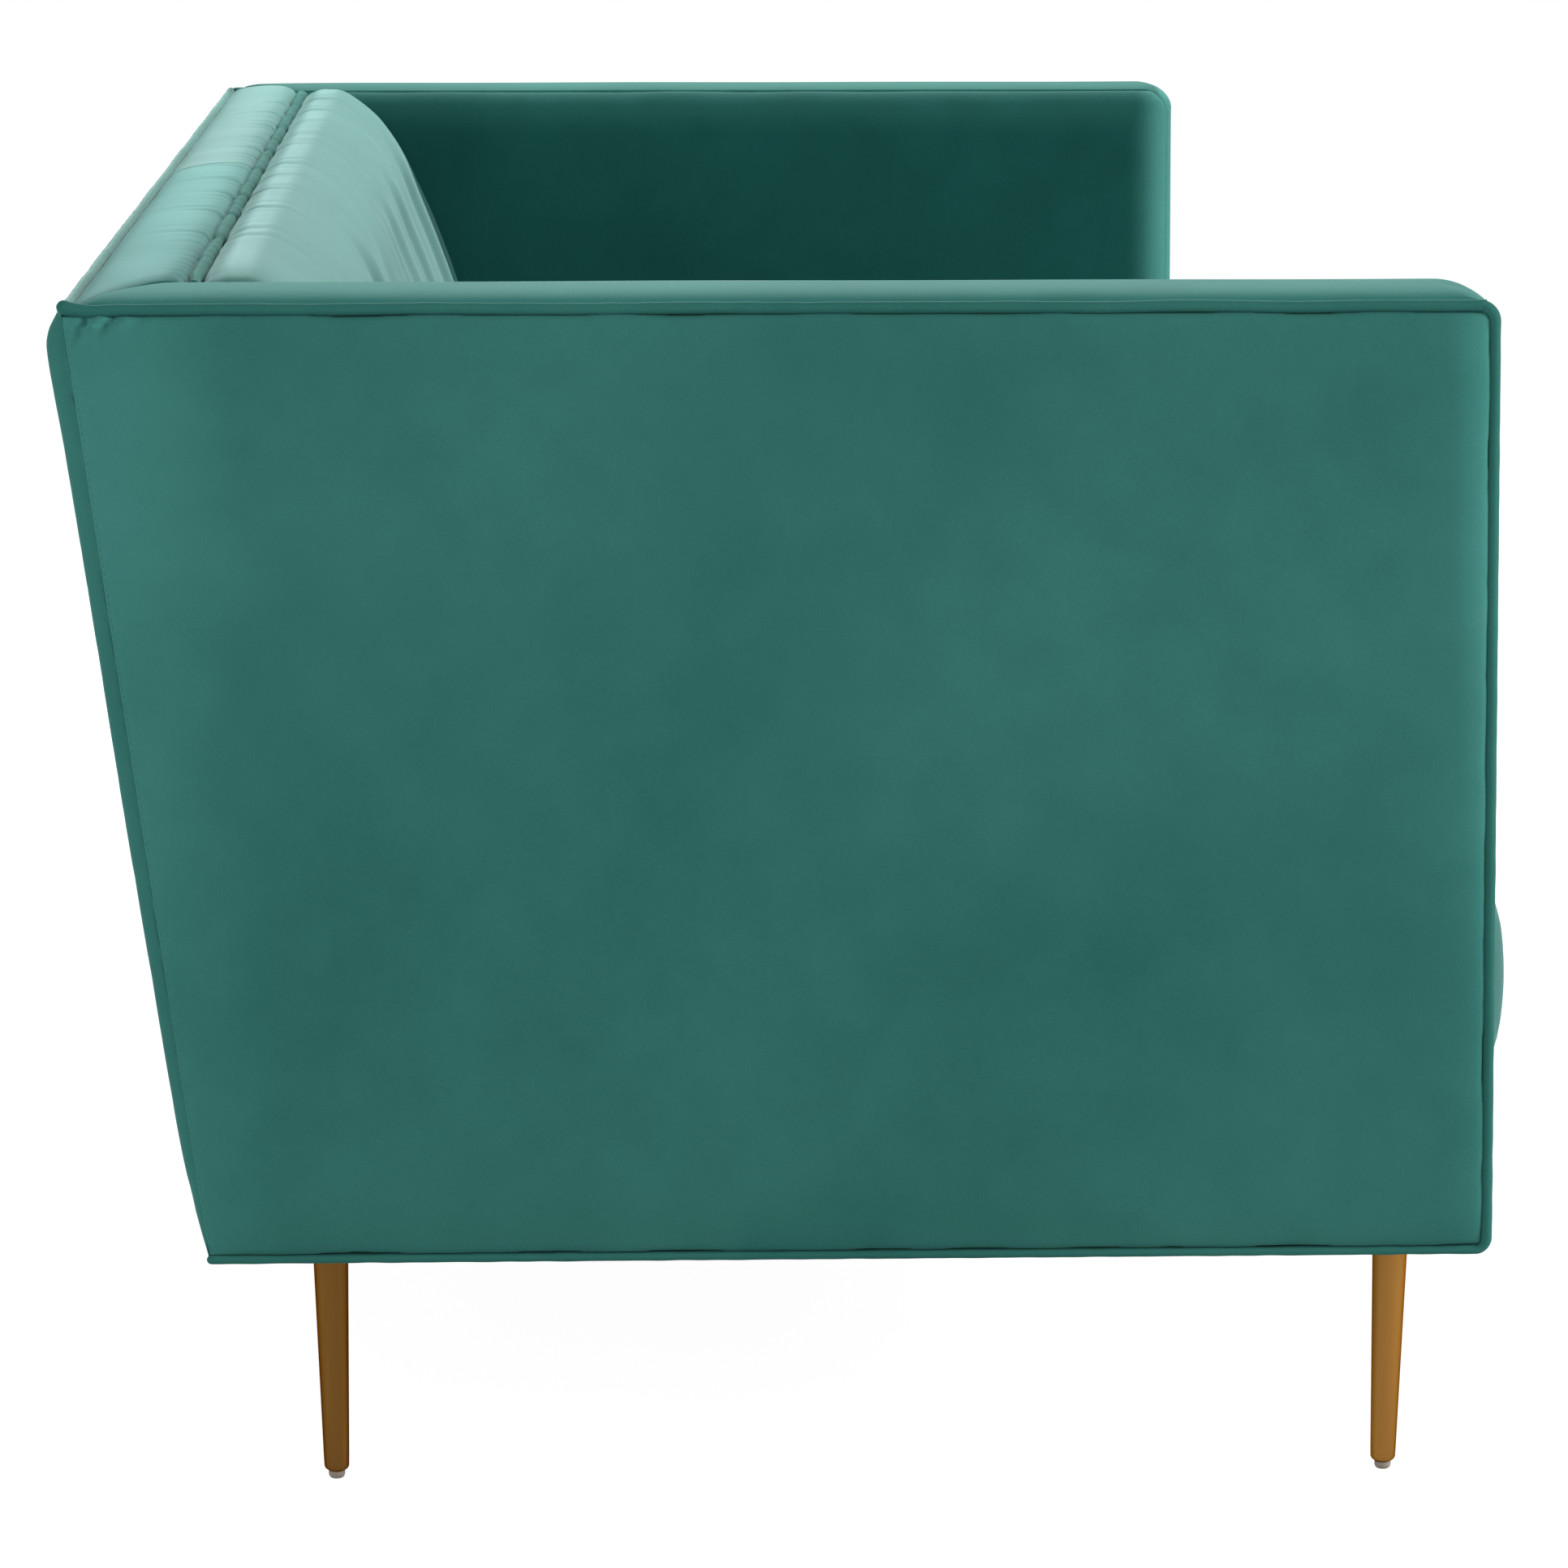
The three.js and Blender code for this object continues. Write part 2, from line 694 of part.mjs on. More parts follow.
// Inner back pad: the crowned front as shares of the pad's height and of its reach forward,
// and how far its ends are drawn in, as shares of its length and of the arm pad's thickness
const backPadShares = [
  [0, 0.86], [0.06, 0.93], [0.2, 0.995], [0.32, 1], [0.45, 0.965], [0.56, 0.895], [0.66, 0.79],
  [0.75, 0.69], [0.82, 0.605], [0.885, 0.52], [0.93, 0.435], [0.963, 0.345], [0.985, 0.26], [0.998, 0.18],
  [0.998, 0.09], [0.985, 0.03], [0.97, 0.004],
];
const backPadEndShares = [[0, 0.9], [0.003, 0.5], [0.009, 0.2], [0.02, 0.05]];
const foldFadeShare = 0.25;

// Where the inner back's front face lies at a height, between the rows of its shares
function backPadFront(z) {
  const rise = (z - backPadFloor) / (backPadTop - backPadFloor);
  const above = backPadShares.findIndex(([share]) => share >= rise);
  const [[lowRise, lowReach], [highRise, highReach]] = [backPadShares[above - 1], backPadShares[above]];
  const reach = mix(lowReach, highReach, (rise - lowRise) / (highRise - lowRise));
  return backPadRear(topSeam) - backPadReach * reach;
}

// Stations along the pad, each with how far the cover is drawn in there
function backPadStations() {
  const nearEnd = backPadEndShares.map(([share, part]) => ({ share, draw: innerArmPadThickness * part }));
  const farEnd = nearEnd.map(({ share, draw }) => ({ share: 1 - share, draw })).reverse();
  const folds = Array.from({ length: 2 * pinchCount - 1 }, (_, i) => ({
    share: (i + 1) / (2 * pinchCount),
    draw: i % 2 ? pinchDepth : 0,
  }));
  return [...nearEnd, ...folds, ...farEnd];
}

function innerBackPad() {
  const reach = armInner - gap;
  const height = backPadTop - backPadFloor;
  const [topShare] = backPadShares[backPadShares.length - 1];
  const rearHigh = backPadFloor + height * topShare - weltDiameter;
  const rings = backPadStations().map(({ share, draw }) => {
    const x = mix(-reach, reach, share);
    const front = backPadShares.map(([rise, out]) => {
      const fade = Math.min(1, out / foldFadeShare);
      const upper = Math.max(0, rise * 2 - 1);
      return new THREE.Vector3(
        x,
        backPadRear(topSeam) - backPadReach * out + draw * fade * (1 - upper / 2),
        backPadFloor + height * rise - (draw / 2) * upper * fade,
      );
    });
    return [
      ...front,
      new THREE.Vector3(x, backPadRear(rearHigh), rearHigh),
      new THREE.Vector3(x, backPadRear(backPadFloor), backPadFloor),
    ];
  });
  add("inner_back_pad", loft(rings), paleVelvet);
}

// Ruched piping in the groove behind the inner back, drawn in at each pinch
function ruchedWelt() {
  const reach = armInner - gap;
  const pitch = (2 * reach) / pinchCount;
  const bumpShares = [[0.04, 0.82], [0.12, 1], [0.88, 1], [0.96, 0.82]];
  const rows = Array.from({ length: pinchCount }, (_, i) => bumpShares.map(([share, width]) => [
    ruchedRadius * width,
    -reach + (i + share) * pitch,
  ])).flat();
  const profile = [[0, -reach], [ruchedRadius * bumpShares[0][1], -reach], ...rows];
  profile.push([ruchedRadius * bumpShares[0][1], reach], [0, reach]);
  const welt = turned(profile, 8).rotateY(Math.PI / 2);
  add("back_ruched_welt", welt.translate(0, ruchedY, boxingBase + ruchedRadius + weltRadius), piping);
}

// Piping round each outer arm panel, and along the rear top edge
function armWelt(side) {
  const x = side * (halfLength - weltInset);
  const front = armFront + weltSetback + weltRadius;
  const radius = coverCornerRadius;
  const point = (y, z) => new THREE.Vector3(x, y + lean(z) * Math.min(1, (rearSeamTop - y) / sofaDepth), z);
  const bend = (y, z, from) => [0, 1, 2, 3].map((step) => {
    const angle = from - (step * Math.PI) / 6;
    return point(y + radius * Math.cos(angle), z + radius * Math.sin(angle));
  });
  const points = [
    point(rearSeam(coverBottom) - gap, lowSeam),
    ...bend(front + radius, lowSeam + radius, -Math.PI / 2),
    ...bend(front + radius, topSeam - radius, Math.PI),
    point(backWeltY + weltRadius, topSeam),
  ];
  add(`arm_welt_${sideName(side)}`, cord(points, weltRadius, new THREE.Vector3(1, 0, 0), 8), piping);
}

function backWelt() {
  const reach = halfLength - weltInset - weltRadius - gap;
  const points = [-reach, reach].map((x) => new THREE.Vector3(x, backWeltY, topSeam));
  add("back_welt", cord(points, weltRadius, new THREE.Vector3(0, 0, 1), 8), piping);
}

baseFrame();
armFrames();
backFrame();
seatSprings();
legs();
dustCover();
for (const side of [-1, 1]) {
  armPanels(side);
  armBoxing(side);
  armWelt(side);
  backTopPanel(side);
}
outerBackPanel();
frontBorder();
deckPad();
seatCushion();
innerBackPad();
ruchedWelt();
backWelt();

export default sofa;
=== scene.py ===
# Tuxedo sofa in teal velvet: piped covers, ruched welt, crowned inner back and brushed brass legs.
# Metres. +Z is up, the front faces -Y, the length runs along X and left is -X.
import math
import random

import bmesh
import bpy
import numpy as np
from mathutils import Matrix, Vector


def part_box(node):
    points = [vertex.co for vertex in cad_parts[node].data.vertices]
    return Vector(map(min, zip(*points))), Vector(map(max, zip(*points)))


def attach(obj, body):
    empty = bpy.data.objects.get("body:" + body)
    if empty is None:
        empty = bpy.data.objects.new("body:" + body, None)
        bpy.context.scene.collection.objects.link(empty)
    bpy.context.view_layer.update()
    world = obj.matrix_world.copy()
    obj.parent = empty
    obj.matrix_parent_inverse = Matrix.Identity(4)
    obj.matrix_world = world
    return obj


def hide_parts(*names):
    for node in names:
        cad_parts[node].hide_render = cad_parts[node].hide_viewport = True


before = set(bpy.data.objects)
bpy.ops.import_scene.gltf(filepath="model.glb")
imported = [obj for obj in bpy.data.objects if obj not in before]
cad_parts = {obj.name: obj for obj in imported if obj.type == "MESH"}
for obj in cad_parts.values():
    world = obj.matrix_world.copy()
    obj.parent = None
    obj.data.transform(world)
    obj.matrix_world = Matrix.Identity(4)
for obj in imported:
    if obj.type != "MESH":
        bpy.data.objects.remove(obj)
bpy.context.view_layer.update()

MM = 0.001
SIDES = {"left": -1, "right": 1}

# Places that the covers share, read from the frame
side_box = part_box("arm_outer_panel_right")
boxing_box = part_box("arm_boxing_right")
welt_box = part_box("arm_welt_right")
back_welt_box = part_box("back_welt")
outer_back_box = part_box("outer_back_panel")
top_panel_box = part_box("back_top_panel_right")
ruched_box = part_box("back_ruched_welt")
cushion_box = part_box("seat_cushion")
deck_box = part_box("seat_deck_pad")
arm_pad_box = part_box("arm_inner_panel_right")

HALF_LENGTH = side_box[1].x
ARM_INNER = boxing_box[0].x
ARM_FRONT = boxing_box[0].y
TOP = boxing_box[1].z
COVER_BOTTOM = outer_back_box[0].z
WELT_RADIUS = (welt_box[1].x - welt_box[0].x) / 2
WELT_X = (welt_box[1].x + welt_box[0].x) / 2
TOP_SEAM = welt_box[1].z - WELT_RADIUS
LOW_SEAM = welt_box[0].z + WELT_RADIUS
WELT_FRONT = welt_box[0].y + WELT_RADIUS
BACK_WELT_Y = (back_welt_box[0].y + back_welt_box[1].y) / 2
BOXING_OUTER = boxing_box[1].x
TOP_BACKING = top_panel_box[0].z
FRONT_BACKING = side_box[0].y
RUCHED_Y = (ruched_box[0].y + ruched_box[1].y) / 2
RUCHED_Z = (ruched_box[0].z + ruched_box[1].z) / 2
RUCHED_RADIUS = (ruched_box[1].z - ruched_box[0].z) / 2
CLEARANCE = 0.3 * MM

REAR_SEAM_TOP = BACK_WELT_Y + WELT_RADIUS / 2
BACK_RAKE = 78 * MM
FRONT_LEAN = 3.5 * MM
SIDE_PAD = side_box[1].x - side_box[0].x
REAR_LEVEL = REAR_SEAM_TOP - BACK_RAKE * TOP_SEAM / (TOP_SEAM - LOW_SEAM)


def rise(z):
    """How far up the covers a height lies, from 0 at the low seam to 1 at the top seam."""
    return (z - LOW_SEAM) / (TOP_SEAM - LOW_SEAM)


def rear_seam(z):
    """How far back the raked seam between the sides and the back lies at a height."""
    return REAR_SEAM_TOP - BACK_RAKE * (1 - rise(z))


def front_lean(z):
    """How far the arm's front leans back at a height."""
    return FRONT_LEAN * rise(z)


# Shapes

def mix(a, b, share):
    """From a to b by a share."""
    return a + (b - a) * share


def smoothstep(share):
    """An even ease from 0 to 1 over the shares 0 to 1."""
    share = np.clip(share, 0, 1)
    return share * share * (3 - 2 * share)


def bell(distance, width):
    """A soft hump, 1 at distance 0."""
    return np.exp(-((distance / width) ** 2))


def ripple(place, seed, wavelength):
    """A smooth uneven wave between about -1 and 1, the same on each run."""
    draw = random.Random(seed)
    total = np.zeros_like(np.asarray(place, float))
    for _ in range(5):
        length = wavelength * draw.uniform(0.6, 2.2)
        total = total + np.sin(2 * math.pi * (np.asarray(place) / length + draw.random()))
    return total / 3


def roll_in(distance, radius):
    """A padded edge that rounds into its seam: 0 at the seam, 1 from the radius on."""
    share = np.clip(distance / radius, 0, 1)
    return np.sqrt(np.clip(1 - (1 - share) ** 2, 0, 1))


def circle(sides):
    """Even angles once round."""
    return np.linspace(0, 2 * math.pi, sides, endpoint=False)


def runs(*parts):
    """Stations in runs one after the other, each from a start to a stop in a number of steps."""
    return np.concatenate([np.linspace(*part) for part in parts])


def stack(x, y, z):
    """Points from their three coordinates, each of them a grid or one value for all."""
    return np.stack(np.broadcast_arrays(x, y, z), axis=-1)


def run_length(line):
    """How far along a line of points each of them lies."""
    return np.concatenate([[0], np.cumsum(np.linalg.norm(np.diff(line, axis=0), axis=1))])


def rounded_loop(corners, radius, turns):
    """A closed line round corners, each given by its centre and the angle in degrees where its bend starts."""
    line = [
        (a + radius * math.cos(turn), b + radius * math.sin(turn))
        for a, b, start in corners
        for turn in np.radians(np.linspace(start, start + 90, turns))
    ]
    return np.array([*line, line[0]])


def spline(points, count):
    """A smooth line through the points, sampled at even steps of its length."""
    points = np.asarray(points, float)
    ends = np.vstack([2 * points[0] - points[1], points, 2 * points[-1] - points[-2]])
    fine = []
    for i in range(1, len(ends) - 2):
        p0, p1, p2, p3 = ends[i - 1:i + 3]
        for step in np.linspace(0, 1, 24, endpoint=False):
            fine.append(0.5 * (
                2 * p1
                + (p2 - p0) * step
                + (2 * p0 - 5 * p1 + 4 * p2 - p3) * step ** 2
                + (3 * p1 - p0 - 3 * p2 + p3) * step ** 3
            ))
    fine.append(points[-1])
    fine = np.array(fine)
    length = run_length(fine)
    wanted = np.linspace(0, length[-1], count)
    return np.stack([np.interp(wanted, length, fine[:, i]) for i in range(points.shape[1])], axis=1)


def steps(low, high, pitch):
    """Even stations from low to high, no further apart than the pitch."""
    return np.linspace(low, high, max(2, math.ceil(abs(high - low) / pitch) + 1))


def loft(rings):
    """Points and faces of a closed body: a skin over rings with equal counts, and a fan at each end."""
    rings = np.asarray(rings, float)
    rows, count = rings.shape[:2]
    index = np.arange(rows * count).reshape(rows, count)
    after = np.roll(index, -1, axis=1)
    faces = np.stack([index[:-1], after[:-1], after[1:], index[1:]], axis=-1).reshape(-1, 4).tolist()
    points = rings.reshape(-1, 3)
    hubs = np.array([rings[0].mean(axis=0), rings[-1].mean(axis=0)])
    first, last = rows * count, rows * count + 1
    for i in range(count):
        faces.append([first, int(after[0, i]), int(index[0, i])])
        faces.append([last, int(index[-1, i]), int(after[-1, i])])
    return np.vstack([points, hubs]), faces


def signed_volume(points, faces):
    """More than 0 where the faces look outwards."""
    total = 0.0
    for corners in (faces[:, [0, 1, 2]], faces[:, [0, 2, 3]]):
        a, b, c = (points[corners[:, i]] for i in range(3))
        total += np.einsum("ij,ij->i", a, np.cross(b, c)).sum()
    return total


def add_object(name, data):
    """An object in the scene that shows a mesh, a camera or a lamp."""
    made = bpy.data.objects.new(name, data)
    bpy.context.scene.collection.objects.link(made)
    return made


def piece(name, points, faces, finish, slot, sharp=60):
    """A mesh object with outward faces, smooth apart from edges over the sharp angle."""
    quads = np.array([face if len(face) == 4 else [*face, face[0]] for face in faces])
    if signed_volume(points, quads) < 0:
        faces = [face[::-1] for face in faces]
    mesh = bpy.data.meshes.new(name)
    mesh.from_pydata([tuple(p) for p in points], [], faces)
    mesh.validate()
    mesh.shade_smooth()
    mesh.set_sharp_from_angle(angle=math.radians(sharp))
    mesh.materials.append(finish)
    made = add_object(name, mesh)
    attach(made, "root")
    return made


def cover(name, place, height, across, along, finish, slot, backing=0.0):
    """A padded panel: place(s, t, h) puts the point at those shares h above the backing."""
    s, t = np.meshgrid(across, along)
    front = place(s, t, height(s, t))
    last = place(s[:, -1:], t[:, -1:], np.full_like(t[:, -1:], backing))
    first = place(s[:, :1], t[:, :1], np.full_like(t[:, :1], backing))
    return piece(name, *loft(np.concatenate([front, last, first], axis=1)), finish, slot)


def piping(name, line, width, finish, up=(0, 0, 1)):
    """A round cord in a fabric sleeve along a line of points, with a radius at each and rounded ends."""
    tangent = np.gradient(line, axis=0)
    tangent /= np.linalg.norm(tangent, axis=1)[:, None]
    across = np.cross(tangent, np.asarray(up, float))
    across /= np.linalg.norm(across, axis=1)[:, None]
    other = np.cross(across, tangent)
    angle = circle(16)
    rings = [
        point + r * (np.cos(angle)[:, None] * a + np.sin(angle)[:, None] * b)
        for point, r, a, b in zip(line, width, across, other)
    ]
    caps = [math.radians(step) for step in (80, 50, 25)]

    def capped(end, outwards, cap):
        return line[end] + outwards * width[end] * math.sin(cap) + (rings[end] - line[end]) * math.cos(cap)

    start = [capped(0, -tangent[0], cap) for cap in caps]
    end = [capped(-1, tangent[-1], cap) for cap in reversed(caps)]
    return piece(name, *loft([*start, *rings, *end]), finish, "piping_velvet", sharp=80)


# Materials

def colour(code):
    """An sRGB hex value as a linear colour."""
    shares = [int(code[i:i + 2], 16) / 255 for i in (1, 3, 5)]
    linear = [c / 12.92 if c <= 0.04045 else ((c + 0.055) / 1.055) ** 2.4 for c in shares]
    return (*linear, 1.0)


def set_sockets(tree, node, sockets):
    """Each socket takes a constant, an output that is linked to it, or a node whose first output is."""
    for socket, value in sockets.items():
        if isinstance(value, bpy.types.Node):
            value = value.outputs[0]
        if isinstance(value, bpy.types.NodeSocket):
            tree.links.new(value, node.inputs[socket])
        else:
            node.inputs[socket].default_value = value


def add_node(tree, kind, sockets=None, stops=(), **settings):
    """Adds one node with its settings, its sockets and, for a ramp, its two stops: a position and a colour."""
    made = tree.nodes.new(kind)
    for name, value in settings.items():
        setattr(made, name, value)
    for i, (position, code) in enumerate(stops):
        made.color_ramp.elements[i].position = position
        made.color_ramp.elements[i].color = colour(code)
    set_sockets(tree, made, sockets or {})
    return made


def empty_tree(owner):
    """The emptied node tree of a material or the world."""
    owner.use_nodes = True
    owner.node_tree.nodes.clear()
    return owner.node_tree


def new_material(name):
    """A material with its shader, its output and the object's own coordinates."""
    made = bpy.data.materials.new(name)
    tree = empty_tree(made)
    shader = add_node(tree, "ShaderNodeBsdfPrincipled")
    add_node(tree, "ShaderNodeOutputMaterial", {"Surface": shader})
    place = add_node(tree, "ShaderNodeTexCoord").outputs["Object"]
    return made, tree, shader, place


def per_metre(size):
    """A noise scale that gives features of a size in millimetres."""
    return 1 / (size * MM)


def velvet(name, deep, light, sheen, tint="#96d2ca", painted_light_tones=None):
    """Cotton velvet: a dense cut pile, quiet where it is seen end on and pale with sheen where it leans away.
    The nap lies in soft patches a hand wide and in smaller clouds, and single tufts show as a faint grain.
    Real tufts are 0.4 mm apart, so the grain is drawn three times coarser to show.
    The last argument gives a deep and a light tone of painted light or painted shade, mixed in by where a
    point
    lies on the piece, and the edges: a direction, the distances along it between which that tone fades in, and
    its share there."""
    made, tree, shader, place = new_material(name)
    patches, clouds, tufts = (
        add_node(tree, "ShaderNodeTexNoise", {
            "Vector": place, "Scale": per_metre(size), "Detail": detail, "Roughness": roughness,
        })
        for size, detail, roughness in ((240, 3.0, 0.6), (38, 4.0, 0.65), (1.3, 2.0, 0.6))
    )
    grain = add_node(tree, "ShaderNodeMath", {0: patches, 1: 0.7, 2: -0.1}, operation="MULTIPLY_ADD")
    for pattern in (clouds, tufts):
        grain = add_node(tree, "ShaderNodeMath", {0: pattern, 1: 0.25, 2: grain}, operation="MULTIPLY_ADD")
    pile = add_node(tree, "ShaderNodeValToRGB", {"Fac": grain}, stops=((0.3, deep), (0.7, light)))
    # Painted light and painted shade: a second pair of tones mixed in by where a point lies on the piece.
    if painted_light_tones:
        painted_deep_tone, painted_light_tone, edges = painted_light_tones
        nearest = 0.0
        for direction, fades_from, full_at, share in edges:
            along = add_node(tree, "ShaderNodeVectorMath", {0: place, 1: direction}, operation="DOT_PRODUCT")
            near = add_node(tree, "ShaderNodeMapRange", {
                "Value": along.outputs["Value"], "From Min": fades_from, "From Max": full_at, "To Max": share,
            }, interpolation_type="SMOOTHSTEP")
            nearest = add_node(tree, "ShaderNodeMath", {0: near, 1: nearest}, operation="MAXIMUM")
        painted_light_pile = add_node(
            tree, "ShaderNodeValToRGB", {"Fac": grain}, stops=((0.3, painted_deep_tone), (0.7, painted_light_tone)),
        )
        pile = add_node(tree, "ShaderNodeMix", {0: nearest, 6: pile, 7: painted_light_pile}, data_type="RGBA").outputs[2]
    bump = add_node(tree, "ShaderNodeBump", {"Strength": 0.3, "Distance": 0.4 * MM, "Height": tufts})
    set_sockets(tree, shader, {
        "Base Color": pile, "Normal": bump, "Roughness": 0.9, "Specular IOR Level": 0.1,
        "Sheen Weight": sheen, "Sheen Roughness": 0.35, "Sheen Tint": colour(tint),
    })
    return made


# Moves the broad noise that makes one leg darker than the next, so that the rear legs come out darker: painted
# shade
REAR_LEGS_PAINTED_SHADE_OFFSET = (0.1, 0.7, 0.0)


def brushed_brass():
    """Brass, its grain drawn along the leg by brushing and lacquered in an antique tone: long soft streaks and
    a gentle gleam.
    Each scratch is finer than a pixel, so the streaks are drawn as the wider bands that they add up to.
    A broad noise makes some legs darker than others, and it is placed so that the rear legs are darker:
    painted shade."""
    made, tree, shader, place = new_material("brushed_antique_brass")
    drawn = add_node(tree, "ShaderNodeMapping", {"Vector": place, "Scale": (1.0, 1.0, 0.02)})
    bands = add_node(tree, "ShaderNodeTexNoise", {"Vector": drawn, "Scale": per_metre(7), "Detail": 1.0})
    streaks = add_node(tree, "ShaderNodeTexNoise", {
        "Vector": drawn, "Scale": per_metre(1.1), "Detail": 3.0, "Roughness": 0.7,
    })
    # Painted shade: a broad noise, placed so that the rear legs come out darker.
    painted_shade_place = add_node(tree, "ShaderNodeMapping", {"Vector": place, "Location": REAR_LEGS_PAINTED_SHADE_OFFSET})
    leg_painted_shade = add_node(tree, "ShaderNodeTexNoise", {"Vector": painted_shade_place, "Scale": per_metre(700), "Detail": 0.0})
    tone = add_node(tree, "ShaderNodeMapRange", {
        "Value": leg_painted_shade, "From Min": 0.3, "From Max": 0.7, "To Min": -0.1, "To Max": 0.4,
    })
    for pattern, weight in ((streaks, 0.25), (bands, 0.5)):
        tone = add_node(tree, "ShaderNodeMath", {0: pattern, 1: weight, 2: tone}, operation="MULTIPLY_ADD")
    metal = add_node(tree, "ShaderNodeValToRGB", {"Fac": tone}, stops=((0.34, "#795528"), (0.66, "#a07238")))
    rough = add_node(tree, "ShaderNodeMapRange", {"Value": streaks, "To Min": 0.26, "To Max": 0.42})
    bump = add_node(tree, "ShaderNodeBump", {"Strength": 0.15, "Distance": 0.05 * MM, "Height": streaks})
    set_sockets(tree, shader, {
        "Base Color": metal, "Roughness": rough, "Normal": bump, "Metallic": 1.0,
        "Specular Tint": colour("#b48c52"),
    })
    return made


def plain_noise(name, dark, light, size, rough, metallic=0.0, stretch=(1, 1, 1), bump_depth=0.1):
    """A surface with one pattern of a stated size in millimetres, drawn out by the stretch."""
    made, tree, shader, place = new_material(name)
    drawn = add_node(tree, "ShaderNodeMapping", {"Vector": place, "Scale": stretch})
    pattern = add_node(tree, "ShaderNodeTexNoise", {
        "Vector": drawn, "Scale": per_metre(size), "Detail": 4.0, "Roughness": 0.6,
    })
    tone = add_node(tree, "ShaderNodeValToRGB", {"Fac": pattern}, stops=((0.3, dark), (0.72, light)))
    bump = add_node(tree, "ShaderNodeBump", {"Strength": 0.4, "Distance": bump_depth * MM, "Height": pattern})
    set_sockets(tree, shader, {
        "Base Color": tone, "Normal": bump, "Roughness": rough, "Metallic": metallic,
    })
    return made


# All covers are one teal cotton velvet with a cut pile. Each piece gets its own deep and light tone and its
# own strength of sheen, and the paler and deeper of these copies of the one velvet paint in light and shade.

# The back and the front border, laid flat: an even middle teal with soft lighter patches.
COVER_VELVET = velvet("cotton_velvet_cover", "#2a655e", "#38766e", 0.3)

# The sides, stretched over a front and a raked rear edge: paler along both, a painted highlight where the
# padding rounds off there.
SIDE_VELVET_PAINTED_EDGES = velvet("cotton_velvet_side_painted_edge_light", "#27605a", "#357169", 0.3, painted_light_tones=("#33736b", "#44857e", [
    ((0, -1, 0.045), -WELT_FRONT - 4 * MM, -WELT_FRONT + 27 * MM, 1),
    ((0, 1, 0.1 - BACK_RAKE / (TOP_SEAM - LOW_SEAM)), REAR_LEVEL - 40 * MM, REAR_LEVEL + 70 * MM, 1),
]))

# The inner arms: a near-black copy of the velvet, painted shade for the hollow between the arms, with a
# painted highlight where the cloth is pulled round the arm's front and a faint one towards its top.
SHADED_VELVET = velvet("cotton_velvet_inner_arm_painted_shade", "#0d403b", "#154f49", 0.12, painted_light_tones=("#3d7d75", "#52938b", [
    ((0, -1, 0), -ARM_FRONT - 50 * MM, -ARM_FRONT - 5 * MM, 1),
    ((0, 0, 1), TOP - 46 * MM, TOP - 18 * MM, 0.12),
]))

# The boxing strips: the right one is a deeper copy, painted shade for the far arm's top, and both get a
# painted highlight where they bend down the arm's front.
BOXING_VELVET_PAINTED_LIGHT = {
    side_name: velvet(f"cotton_velvet_boxing_painted_light_{side_name}", deep, light, 0.15, painted_light_tones=("#3a7a72", "#50918a", [
        ((0, -1, 0), -ARM_FRONT - inset * MM, -ARM_FRONT - 2 * MM - inset * MM / 2, 1),
    ]))
    for side_name, deep, light, inset in (
        ("left", "#2b6860", "#3a7b73", 8), ("right", "#1b524c", "#286259", 24),
    )
}

# The inner back: a paler, greyer crown, painted sheen on top of the real sheen, and below it a deeper tone
# that is painted shade.
SEAT_VELVET_PAINTED_SHEEN_AND_SHADE = velvet(
    "cotton_velvet_seat_painted_sheen_and_shade", "#3f6e66", "#4f7f77", 0.45, tint="#c4e8e8",
    painted_light_tones=("#104a42", "#1c5b51", [((0, 0, -1), -TOP + 14 * MM, -TOP + 80 * MM, 1)]),
)

# The two lengths of the back's top: pale and slightly grey in the middle, painted sheen, and deeper towards
# their mitres, painted shade. The left one is the greener of the two, with its own sheen tint and a longer
# painted shade.
TOP_VELVET_PAINTED_SHEEN_AND_SHADE = {
    side_name: velvet(f"cotton_velvet_back_top_{side_name}", deep, light, 0.42, tint=tint, painted_light_tones=(
        *painted_light_tones, [((SIDES[side_name], 0, 0), fades_from, BOXING_OUTER - 10 * MM, 1)],
    ))
    for side_name, deep, light, tint, painted_light_tones, fades_from in (
        ("left", "#3b6a63", "#4b7b73", "#a8dfdc", ("#0f453e", "#18544c"), 300 * MM),
        ("right", "#3d6c64", "#4d7c74", "#c4e8e6", ("#153f39", "#1f4e47"), ARM_INNER + 10 * MM),
    )
}

# The cushion: the palest and greyest piece, a grey base that is painted sheen for its bulging front.
CUSHION_VELVET_PAINTED_SHEEN = velvet("cotton_velvet_cushion_painted_sheen", "#44706a", "#557f79", 0.5, tint="#c4e8e8")

# Piping cut on the bias and sewn round a cord: a little deeper and duller than the covers, painted shade for
# the round cord.
PIPING_VELVET_PAINTED_SHADE = velvet("cotton_velvet_bias_piping_painted_shade", "#245d56", "#326d65", 0.2)

# The gathered piping: the deepest tone on the back, a dark copy of the velvet that is painted shade for its
# groove.
GATHERED_VELVET_PAINTED_SHADE = velvet("cotton_velvet_gathered_piping_painted_shade", "#1d524b", "#2b665e", 0.2)

BRASS = brushed_brass()

# Spun polyester, dull and darker than the cover: the dark tone is painted shade, so that the stitches read as
# small grooves.
THREAD_PAINTED_GROOVE_SHADE = plain_noise("polyester_thread_painted_groove_shade", "#1d524c", "#2a665f", 0.6, 0.7)

# Hardwood as it leaves the planer: pale brown, dry, with grain 6 mm wide drawn out along the sofa.
HARDWOOD = plain_noise("planed_hardwood", "#a9794a", "#cfa470", 6, 0.7, stretch=(0.06, 1, 1))

